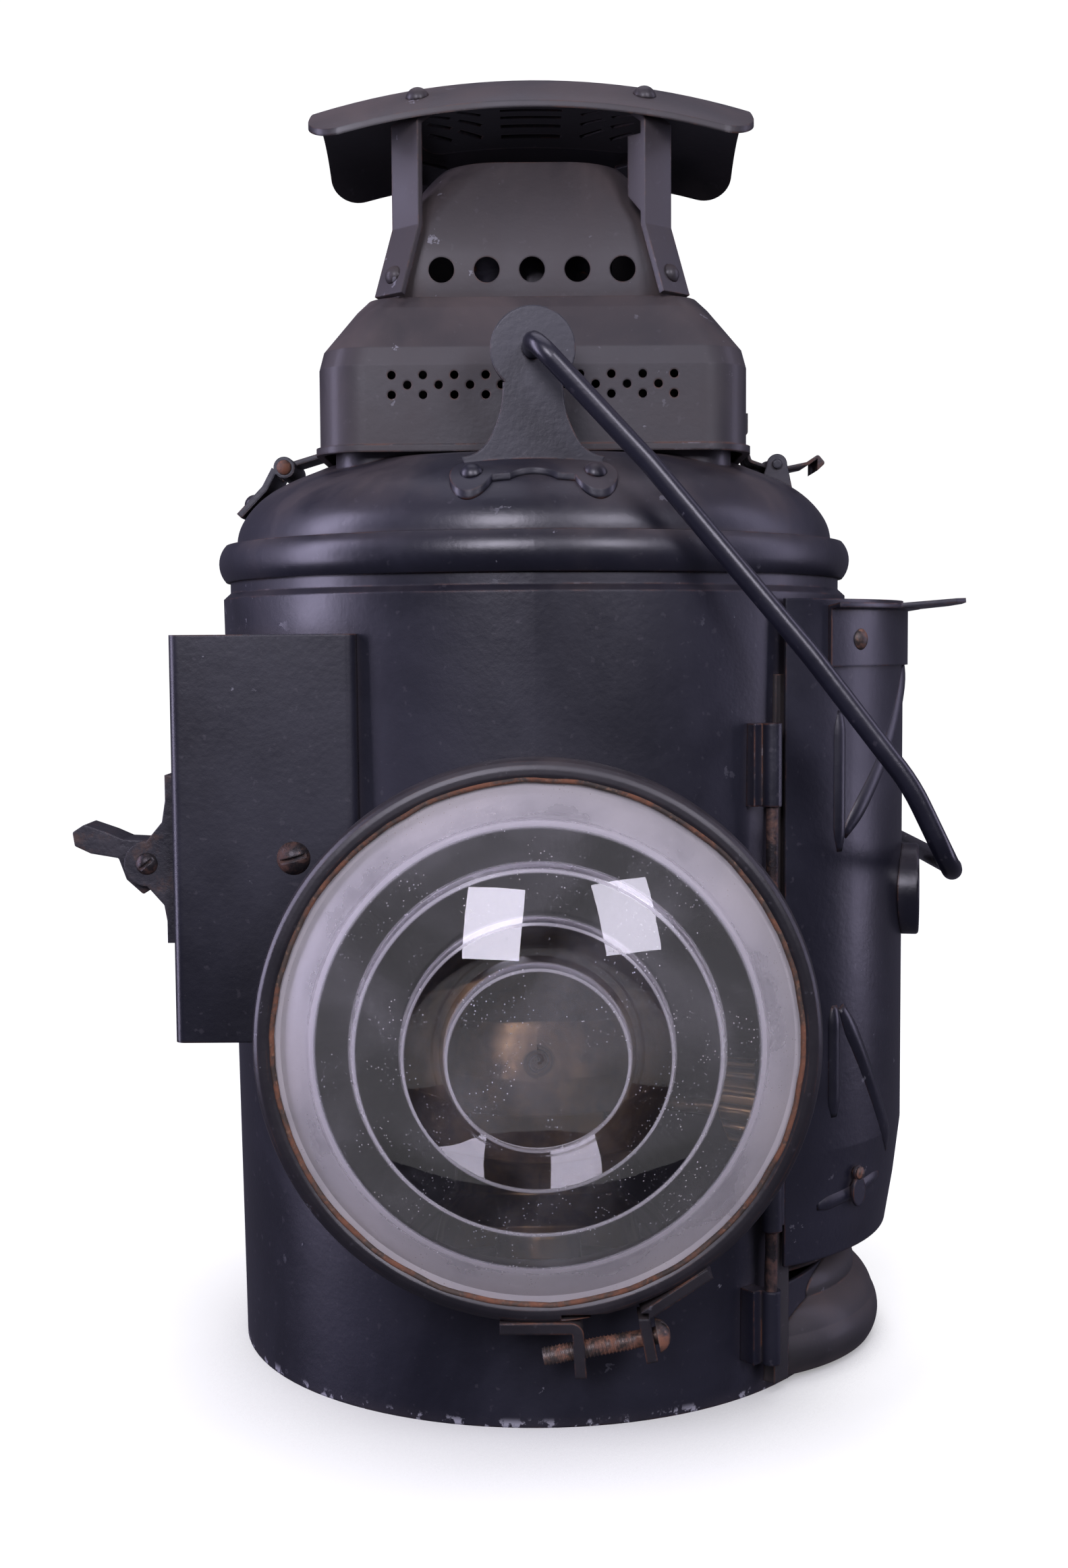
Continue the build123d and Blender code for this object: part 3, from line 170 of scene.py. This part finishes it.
def enamel(name, dust=0.5, rust=0.5, chips=0.3, gloss=0.40, deep=(0.0055, 0.0058, 0.0105),
           light=(0.0115, 0.0118, 0.0200), haze=0.0, foot=False):
    """Old blue-black enamel: mottled, dusty on top and in corners, rusty and chipped at its edges.

    A haze spreads clouds of dust over the whole piece, and a foot is chipped along the floor.
    """
    g = Graph(name)
    rounded, edge = g.edge(0.9 * MM)
    clouds = g.noise(11, 6, 0.62, 0.4)
    grain = g.noise(520, 3, 0.6)
    smears = g.noise(26, 5, 0.6, 0.6, (1, 1, 0.28))
    specks = g.span(g.noise(380, 2, 0.5), 0.66, 0.74)
    colour = g.mix(g.span(clouds, 0.34, 0.66), deep, light)
    colour = g.mix(g.math("MULTIPLY", specks, 0.22), colour, (0.075, 0.070, 0.080))
    lying = g.math("MULTIPLY", g.span(g.upward(), 0.10, 0.92), g.span(smears, 0.32, 0.74))
    corner = g.math("MULTIPLY", g.span(g.crevice(9 * MM), 0.22, 0.80), g.span(smears, 0.28, 0.60))
    film = g.math("MULTIPLY", g.span(smears, 0.56, 0.80), 0.30)
    dusty = g.math("MULTIPLY", g.math("ADD", g.math("ADD", lying, corner), film), dust)
    if haze:
        veil = g.math("MULTIPLY", g.span(g.noise(14, 5, 0.6, 0.5), 0.36, 0.66), haze)
        dusty = g.math("ADD", dusty, veil)
    colour = g.mix(dusty, colour, DUST)
    worn = g.math("MULTIPLY", edge, g.span(g.noise(95, 5, 0.7), 0.46, 0.62))
    colour = g.mix(g.math("MULTIPLY", worn, rust), colour, RUST)
    small = g.span(g.noise(150, 4, 0.65), 0.665, 0.690)
    flakes = g.math("MULTIPLY", small, g.span(g.noise(17, 2), 0.50, 0.64))
    on_edges = g.math("MULTIPLY", worn, g.span(g.noise(230, 3), 0.60, 0.66))
    flakes = g.math("MULTIPLY", g.math("ADD", flakes, on_edges), chips)
    if foot:
        low = g.span(g.place("Z"), 3.2 * MM, 0.8 * MM)
        flakes = g.math("ADD", flakes, g.math("MULTIPLY", low, g.span(g.noise(210, 4, 0.6), 0.55, 0.62)))
    colour = g.mix(flakes, colour, CHIP)
    sheen = g.span(clouds, 0.3, 0.7, gloss - 0.07, gloss + 0.09)
    rough = g.math("ADD", sheen, g.math("MULTIPLY", dusty, 0.42))
    surface = g.bump(grain, 0.10 * MM, rounded, 0.55)
    surface = g.bump(g.noise(60, 4, 0.6), 0.28 * MM, surface, 0.5)
    surface = g.bump(flakes, -0.15 * MM, surface, 0.7)
    return g.finish(Base_Color=colour, Roughness=rough, Normal=surface, Specular_IOR_Level=0.5,
                    Coat_Weight=0.12, Coat_Roughness=0.22)


def iron(name, base=(0.085, 0.070, 0.062), rust=0.6, metallic=0.75, gloss=0.45):
    """Bare or thinly painted iron with patches of rust."""
    g = Graph(name)
    rounded, edge = g.edge(0.6 * MM)
    patches = g.span(g.noise(130, 6, 0.7, 0.3), 0.42, 0.62)
    colour = g.mix(g.span(g.noise(45, 4), 0.35, 0.65), base, tuple(c * 0.5 for c in base))
    colour = g.mix(g.math("MULTIPLY", patches, rust), colour, (0.190, 0.078, 0.042))
    freckles = g.math("MULTIPLY", g.span(g.noise(700, 3), 0.55, 0.72), rust * 0.5)
    colour = g.mix(freckles, colour, (0.30, 0.17, 0.10))
    colour = g.mix(g.math("MULTIPLY", edge, 0.35), colour, (0.20, 0.19, 0.19))
    rough = g.span(patches, 0.0, 1.0, gloss, gloss + 0.35)
    surface = g.bump(g.noise(600, 4, 0.7), 0.16 * MM, rounded, 0.8)
    return g.finish(Base_Color=colour, Roughness=rough, Normal=surface,
                    Metallic=g.math("SUBTRACT", metallic, g.math("MULTIPLY", patches, rust * 0.7)))


def casting(name):
    """Black-painted casting with a coarse skin and patches of rust."""
    g = Graph(name)
    rounded, edge = g.edge(0.7 * MM)
    skin = g.noise(260, 5, 0.65)
    colour = g.mix(g.span(g.noise(60, 4), 0.35, 0.65), (0.012, 0.012, 0.017), (0.030, 0.028, 0.034))
    patches = g.math("MULTIPLY", g.span(g.noise(120, 5, 0.7), 0.50, 0.66), 0.6)
    colour = g.mix(patches, colour, (0.075, 0.040, 0.026))
    colour = g.mix(g.math("MULTIPLY", edge, 0.4), colour, (0.085, 0.078, 0.082))
    return g.finish(Base_Color=colour, Roughness=g.span(skin, 0.3, 0.7, 0.38, 0.62), Metallic=0.15,
                    Normal=g.bump(skin, 0.30 * MM, rounded, 0.9))


def brass(name):
    """Dull burner brass with soot and brown tarnish."""
    g = Graph(name)
    rounded, edge = g.edge(0.5 * MM)
    tarnish = g.span(g.noise(70, 5, 0.65), 0.38, 0.66)
    colour = g.mix(tarnish, (0.130, 0.082, 0.036), (0.030, 0.021, 0.016))
    colour = g.mix(g.math("MULTIPLY", edge, 0.4), colour, (0.300, 0.200, 0.090))
    return g.finish(Base_Color=colour, Metallic=0.9, Roughness=g.span(tarnish, 0, 1, 0.30, 0.55),
                    Normal=g.bump(g.noise(420, 3), 0.05 * MM, rounded, 0.6))


def tinned(name):
    """Dull tinned sheet with grey bloom and rust freckles."""
    g = Graph(name)
    rounded, edge = g.edge(0.6 * MM)
    bloom = g.noise(48, 5, 0.65, 0.5)
    colour = g.mix(g.span(bloom, 0.3, 0.7), (0.070, 0.067, 0.070), (0.024, 0.023, 0.026))
    colour = g.mix(g.span(g.noise(190, 4), 0.62, 0.70), colour, (0.14, 0.062, 0.03))
    colour = g.mix(g.math("MULTIPLY", edge, 0.4), colour, (0.10, 0.07, 0.05))
    return g.finish(Base_Color=colour, Metallic=0.8, Roughness=g.span(bloom, 0.3, 0.7, 0.36, 0.58),
                    Normal=g.bump(g.noise(300, 3), 0.06 * MM, rounded, 0.6))


def woven(name):
    """Flat plaited cotton, charred at its top edge."""
    g = Graph(name)
    wave = g.tree.nodes.new("ShaderNodeTexWave")
    wave.bands_direction = "DIAGONAL"
    wave.inputs["Scale"].default_value = 900
    wave.inputs["Distortion"].default_value = 1.5
    g.set(wave.inputs["Vector"], g.coords.outputs["Object"])
    colour = g.mix(wave.outputs["Fac"], (0.52, 0.48, 0.40), (0.72, 0.68, 0.58))
    colour = g.mix(g.span(g.place("Z"), 0.098, 0.104), colour, (0.012, 0.010, 0.009))
    return g.finish(Base_Color=colour, Roughness=0.95, Sheen_Weight=0.3,
                    Normal=g.bump(wave.outputs["Fac"], 0.25 * MM, None, 0.8))


def felt(name):
    """Flat grey-brown felt packing."""
    g = Graph(name)
    fuzz = g.noise(900, 4, 0.7)
    colour = g.mix(g.span(fuzz, 0.3, 0.7), (0.11, 0.09, 0.07), (0.24, 0.20, 0.16))
    return g.finish(Base_Color=colour, Roughness=0.95, Sheen_Weight=0.4,
                    Normal=g.bump(fuzz, 0.2 * MM, None, 0.8))


# Radius, half width in millimetres and strength of the painted highlight lines along the lens's steps:
# pale lines where the steps would catch the light
LENS_HIGHLIGHT_LINES = ((24.0, 0.6, 0.24), (35.6, 0.6, 0.24), (49.0, 0.8, 0.28), (60.8, 1.5, 0.34))


def lens_material(name, centre_z, rim_radius):
    """Clear pressed glass with specks of dust, a dusty rim band and painted highlights: pale lines along
    its steps.
    """
    g = Graph(name)
    across = g.place("X")
    height = g.math("SUBTRACT", g.place("Z"), centre_z)
    square = g.tree.nodes.new("ShaderNodeMath")
    square.operation = "MULTIPLY"
    g.set(square.inputs[0], across)
    g.set(square.inputs[1], across)
    second = g.tree.nodes.new("ShaderNodeMath")
    second.operation = "MULTIPLY_ADD"
    g.set(second.inputs[0], height)
    g.set(second.inputs[1], height)
    g.set(second.inputs[2], square.outputs[0])
    radius = g.math("SQRT", second.outputs[0])
    specks = g.span(g.cells(760), 0.20, 0.10)
    specks = g.math("MULTIPLY", specks, g.span(g.noise(70, 3), 0.46, 0.66))
    smear = g.span(g.noise(24, 5, 0.6, 0.8), 0.42, 0.72)
    rim = g.span(radius, rim_radius * 0.82, rim_radius)
    film = g.math("ADD", g.math("MULTIPLY", smear, 0.035), g.math("MULTIPLY", rim, g.span(
        g.noise(40, 5, 0.6), 0.25, 0.75, 0.06, 0.20)))
    dirt = g.math("ADD", film, g.math("MULTIPLY", specks, 0.40))
    dusty_rim = g.span(g.noise(36, 5, 0.6), 0.2, 0.8, 0.14, 0.42)
    band = g.math("MULTIPLY", g.span(radius, 60.5 * MM, 63.0 * MM), dusty_rim)
    dirt = g.math("ADD", dirt, band)
    # Painted highlights: pale lines along the lens's steps are added into the dirt mask, so from here it
    # carries painted highlight as well as dust
    for ring, half_width, weight in LENS_HIGHLIGHT_LINES:
        away = g.math("ABSOLUTE", g.math("SUBTRACT", radius, ring * MM))
        step_highlight = g.span(away, half_width * MM, 0.2 * MM)
        dirt = g.math("ADD", dirt, g.math("MULTIPLY", step_highlight, weight))
    # Pale violet-grey for the specks, the dust film and the painted highlight lines inside, beige dust
    # towards the rim
    colour = g.mix(g.span(radius, 59 * MM, 64 * MM), (0.62, 0.56, 0.61), (0.30, 0.255, 0.215))
    colour = g.mix(dirt, (0.93, 0.91, 0.95), colour)
    return g.finish(Base_Color=colour, Roughness=g.span(dirt, 0.0, 0.6, 0.015, 0.55), IOR=1.50,
                    Transmission_Weight=g.math("SUBTRACT", 1.0, dirt),
                    Normal=g.bump(g.noise(30, 3, 0.5), 0.12 * MM, None, 0.25))


def plain_glass(name):
    """Small dusty window glass."""
    g = Graph(name)
    dirt = g.math("MULTIPLY", g.span(g.noise(160, 5, 0.6), 0.45, 0.75), 0.35)
    colour = g.mix(dirt, (0.90, 0.92, 0.93), (0.35, 0.31, 0.27))
    return g.finish(Base_Color=colour, Roughness=g.span(dirt, 0, 0.4, 0.03, 0.5), IOR=1.5,
                    Transmission_Weight=g.math("SUBTRACT", 1.0, dirt))


# --- Materials on the CAD nodes -----------------------------------------------------------

# Height of the lens's axis and radius of its visible glass, in millimetres
LENS_Z = 115.7
GLASS_R = 72.2
body_enamel = enamel("enamel_drum", dust=0.30, rust=0.55, chips=0.5, foot=True)
roof_enamel = enamel("enamel_roof", dust=0.62, rust=0.6, chips=0.45, gloss=0.38)
chimney_enamel = enamel("enamel_chimney", dust=0.85, rust=0.7, chips=0.55, gloss=0.46,
                        deep=(0.0075, 0.0072, 0.0100), light=(0.0190, 0.0165, 0.0180), haze=0.30)
liner_enamel = enamel("enamel_liner", dust=0.35, rust=0.7, chips=0.1, gloss=0.55,
                      deep=(0.0085, 0.0070, 0.0075), light=(0.0180, 0.0140, 0.0140))
trim_enamel = enamel("enamel_trim", dust=0.45, rust=0.85, chips=0.5, gloss=0.36)
bail_enamel = enamel("enamel_bail", dust=0.22, rust=0.8, chips=1.0, gloss=0.30)
door_enamel = enamel("enamel_door", dust=0.38, rust=0.6, chips=0.35, gloss=0.36)
inside_enamel = enamel("enamel_inside", dust=0.75, rust=0.6, chips=0.3, gloss=0.55,
                       deep=(0.0090, 0.0085, 0.0095), light=(0.0240, 0.0215, 0.0215))
clamp_enamel = enamel("enamel_clamp", dust=0.45, rust=1.0, chips=0.3, gloss=0.38,
                      deep=(0.0065, 0.0062, 0.0085), light=(0.0160, 0.0140, 0.0165))
rust_iron = iron("iron_rusty", rust=0.95, metallic=0.55)
dark_iron = iron("iron_dark", base=(0.035, 0.031, 0.033), rust=0.35, metallic=0.55, gloss=0.38)
black_casting = casting("casting_black")
burner_brass = brass("brass_dull")
putty = iron("putty_rusty", base=(0.060, 0.042, 0.030), rust=0.8, metallic=0.0, gloss=0.7)
tin_sheet = tinned("sheet_tinned")

FINISHES = {
    body_enamel: ("body_shell", "iron_socket"),
    roof_enamel: ("dome_roof", "top_ring", "bail_lug_front", "bail_lug_rear", "lug_rivets", "catch_lugs"),
    chimney_enamel: ("vent_box", "chimney_cone", "hood", "hood_legs", "leg_rivets", "hood_rivets",
                     "lift_tab"),
    trim_enamel: ("hinge_upper", "hinge_lower", "hinge_rivets", "door_bracket", "sight_ring",
                  "keyhole_cover", "door_runners", "rod_brackets", "base_pan"),
    bail_enamel: ("bail",),
    door_enamel: ("door_panel",),
    inside_enamel: ("door_jambs", "door_sill", "lens_neck"),
    clamp_enamel: ("lens_clamp",),
    rust_iron: ("clamp_screw", "hinge_pin", "cover_rivet", "bracket_rivets"),
    dark_iron: ("socket_screw", "lever_pivot", "guide_rods", "socket_spring", "roof_catch"),
    black_casting: ("lever_bracket", "cam_lever"),
    burner_brass: ("filler_cap", "burner_body", "wick_tube", "burner_gallery", "wick_shaft", "wick_knob"),
    tin_sheet: ("oil_fount", "fount_seat", "inner_flue"),
    liner_enamel: ("hood_liner",),
    lens_material("glass_lens", LENS_Z * MM, GLASS_R * MM): ("lens_glass",),
    plain_glass("glass_sight"): ("sight_glass",),
    felt("felt_packing"): ("lens_gasket",),
    woven("cotton_wick"): ("wick",),
}
for material, names in FINISHES.items():
    for name in names:
        mesh = nodes[name].data
        mesh.materials.clear()
        mesh.materials.append(material)


# --- Added detail -------------------------------------------------------------------------


def sweep_section(name, frames, section, closed, material, body):
    """Mesh swept from a small section along (point, outward, sideways) frames; it rides on a body."""
    shape = bmesh.new()
    rows = []
    for point, outward, sideways in frames:
        rows.append([shape.verts.new(point + sideways * across + outward * proud)
                     for across, proud in section])
    pairs = list(zip(rows, rows[1:])) + ([(rows[-1], rows[0])] if closed else [])
    count = len(section)
    for near, far in pairs:
        for k in range(count):
            shape.faces.new((near[k], near[(k + 1) % count], far[(k + 1) % count], far[k]))
    if not closed:
        shape.faces.new(rows[0])
        shape.faces.new(rows[-1][::-1])
    bmesh.ops.recalc_face_normals(shape, faces=shape.faces)
    mesh = bpy.data.meshes.new(name)
    shape.to_mesh(mesh)
    shape.free()
    mesh.polygons.foreach_set("use_smooth", [True] * len(mesh.polygons))
    mesh.materials.append(material)
    piece = bpy.data.objects.new(name, mesh)
    scene.collection.objects.link(piece)
    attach(piece, body)
    return piece


# The door's bulge in millimetres: azimuth of its middle, radius and half angle of its edges about
# the lamp's axis, and the radius of its middle at a few heights
DOOR_AZ = math.radians(80)
DOOR_EDGE = 104.0
DOOR_HALF = math.radians(35.5)
DOOR_REACH = ((39.0, 114.3), (54.0, 116.8), (72.0, 119.0), (237.0, 119.0))


def door_skin(angle, height):
    """Point and outward direction on the door's skin, at an angle about its own axis and a height."""
    for (low, near), (high, far) in zip(DOOR_REACH, DOOR_REACH[1:]):
        if height <= high:
            reach = near + (far - near) * (height - low) / (high - low)
            break
    offset = (reach ** 2 - DOOR_EDGE ** 2) / (2 * (reach - DOOR_EDGE * math.cos(DOOR_HALF)))
    outward = Vector((math.sin(angle), -math.cos(angle), 0))
    centre = Vector((offset * math.sin(DOOR_AZ), -offset * math.cos(DOOR_AZ), height))
    return (centre + outward * (reach - offset)) * MM, outward


def door_rib(name, start, end, half_width, height):
    """Low rounded ridge pressed into the door between two (degrees, millimetres up) points."""
    steps = 28
    fade = 5
    skin = []
    for k in range(steps + 1):
        share = k / steps
        angle = math.radians(start[0] + (end[0] - start[0]) * share)
        skin.append(door_skin(angle, start[1] + (end[1] - start[1]) * share))
    path = []
    for k, (point, outward) in enumerate(skin):
        ahead = skin[min(k + 1, steps)][0] - skin[max(k - 1, 0)][0]
        taper = max(math.sin(math.pi * min(1, min(k, steps - k) / fade) / 2), 0.05)
        path.append((point, outward * taper, ahead.cross(outward).normalized() * (0.4 + 0.6 * taper)))
    profile = [(half_width * MM * math.cos(a), (height * math.sin(a) ** 1.6 - 0.25) * MM)
               for a in (math.pi * j / 10 for j in range(11))]
    profile += [(-half_width * 0.6 * MM, -0.9 * MM), (half_width * 0.6 * MM, -0.9 * MM)]
    return sweep_section(name, path, profile, False, door_enamel, "door")


# Name, start, end, half width and height of the door's pressed ribs
RIBS = (
    ("rib_upright_high", (37.0, 162), (37.0, 204), 2.6, 1.3),
    ("rib_slant_high", (79.0, 220), (38.4, 166.6), 3.2, 1.5),
    ("rib_upright_low", (35.5, 116), (35.5, 82), 2.6, 1.3),
    ("rib_slant_low", (37.7, 115.5), (62.0, 66), 3.0, 1.4),
    ("rib_foot", (33.0, 55.4), (57.9, 59.6), 2.4, 1.0),
)
for rib in RIBS:
    door_rib(*rib)

# The clamp screw in millimetres
FRONT = Vector((0, -1, 0))
SCREW_R = 2.4
SCREW_TILT = math.radians(10.5)
SCREW_FOOT = Vector((1.0, -113.0, 27.0))


def screw_thread():
    """Thread wound round the clamp screw's shank."""
    turns, per_turn, pitch, start = 24, 14, 1.05, 0.6
    flank, crest, root = 0.46 * MM, 0.34 * MM, 0.2 * MM
    screw_dir = Vector((math.cos(SCREW_TILT), 0, math.sin(SCREW_TILT)))
    side = -FRONT
    up = screw_dir.cross(side)
    coil = []
    for k in range(turns * per_turn + 1):
        angle = k / per_turn * 2 * math.pi
        out = side * math.cos(angle) + up * math.sin(angle)
        centre = SCREW_FOOT + screw_dir * (start + k / per_turn * pitch)
        coil.append(((centre + out * SCREW_R) * MM, out, screw_dir))
    section = [(-flank, -root), (0, crest), (flank, -root), (0, -1.5 * root)]
    sweep_section("screw_thread", coil, section, False, rust_iron, "lamp_body")


def rim_putty():
    """Uneven bead of old putty and rust where the clamp meets the glass."""
    steps, sides, bead_y, unevenness = 160, 8, -118.0, 0.35
    bead = []
    for k in range(steps):
        angle = k / steps * 2 * math.pi
        out = Vector((math.cos(angle), 0, math.sin(angle)))
        wobble = unevenness * noise.noise(out * 9)
        centre = Vector((0, bead_y - wobble * 0.4, LENS_Z)) + out * (GLASS_R + wobble)
        bead.append((centre * MM, out, FRONT))
    section = [(0.9 * MM * math.cos(a), 0.8 * MM * math.sin(a))
               for a in (2 * math.pi * j / sides for j in range(sides))]
    sweep_section("rim_putty", bead, section, True, putty, "lamp_body")


screw_thread()
rim_putty()


# --- Stage --------------------------------------------------------------------------------


def sweep_floor():
    """Pale glowing floor that curves up into a wall behind the lamp, with a painted shadow: its glow dims
    where the lamp is close.
    """
    front, depth, width, bend, tall = -4.0, 2.6, 7.0, 1.4, 5.0
    steps = 24
    path = [(front, 0.0)]
    quarter = [k / steps * math.pi / 2 for k in range(steps + 1)]
    path += [(depth + bend * math.sin(angle), bend * (1 - math.cos(angle))) for angle in quarter]
    path.append((depth + bend, tall))
    mesh = bpy.data.meshes.new("floor")
    vertices = [(x, y, z) for y, z in path for x in (-width, width)]
    faces = [(2 * k, 2 * k + 1, 2 * k + 3, 2 * k + 2) for k in range(len(path) - 1)]
    mesh.from_pydata(vertices, [], faces)
    mesh.polygons.foreach_set("use_smooth", [True] * len(faces))
    floor = bpy.data.objects.new("floor", mesh)
    scene.collection.objects.link(floor)
    g = Graph("floor_paper_painted_shadow")
    colour = g.mix(g.noise(3, 3), (0.26, 0.26, 0.26), (0.28, 0.28, 0.28))
    # Painted shadow: the floor's glow dims where the lamp is close by, a soft contact shadow painted
    # around its base
    glow_with_painted_shadow = g.span(g.crevice(0.12), 0.0, 0.8, 1.0, 0.28)
    mesh.materials.append(g.finish(Base_Color=colour, Roughness=0.9, Emission_Color=(1, 1, 1),
                                   Emission_Strength=glow_with_painted_shadow))
    floor.visible_diffuse = False
    floor.visible_glossy = False


def area_light(name, place, target, size, power, colour=(1, 1, 1)):
    """Rectangular soft light that faces a point."""
    data = bpy.data.lights.new(name, "AREA")
    data.shape = "RECTANGLE"
    data.size, data.size_y = size
    data.energy = power
    data.color = colour
    light = bpy.data.objects.new(name, data)
    light.location = place
    light.rotation_euler = (Vector(target) - Vector(place)).to_track_quat("-Z", "Y").to_euler()
    scene.collection.objects.link(light)


sweep_floor()
middle = (0, 0, 0.2)
area_light("key_left", (-0.34, -1.42, 0.86), middle, (0.46, 0.58), 16, (0.88, 0.84, 1.0))
area_light("key_right", (0.69, -1.27, 0.87), middle, (0.46, 0.58), 13, (0.88, 0.84, 1.0))
area_light("side_left", (-1.5, -0.2, 0.5), middle, (0.5, 1.6), 24, (0.76, 0.70, 1.0))
area_light("side_right", (1.5, 0.1, 0.6), middle, (0.5, 1.6), 8, (0.76, 0.70, 1.0))
area_light("top", (0, 0.2, 2.0), middle, (1.6, 1.6), 11, (0.86, 0.82, 1.0))
world = bpy.data.worlds.new("studio")
scene.world = world
world.use_nodes = True
world.node_tree.nodes["Background"].inputs["Color"].default_value = (0.78, 0.73, 1.0, 1)
world.node_tree.nodes["Background"].inputs["Strength"].default_value = 0.11
scene.view_settings.view_transform = "Standard"

# Camera: looks slightly down, rolled a little, close to the front of the lens
CAMERA_AT = (-0.0005, -0.632, 0.224)
PITCH = math.radians(4.15)
ROLL = math.radians(-0.4)
camera_data = bpy.data.cameras.new("camera")
camera_data.sensor_fit = "VERTICAL"
camera_data.sensor_height = 24.0
camera_data.lens = 29.34
camera_data.clip_start = 0.02
camera = bpy.data.objects.new("camera", camera_data)
scene.collection.objects.link(camera)
tilt = Matrix.Rotation(math.pi / 2 - PITCH, 4, "X")
camera.matrix_world = Matrix.Translation(CAMERA_AT) @ tilt @ Matrix.Rotation(ROLL, 4, "Z")
scene.camera = camera
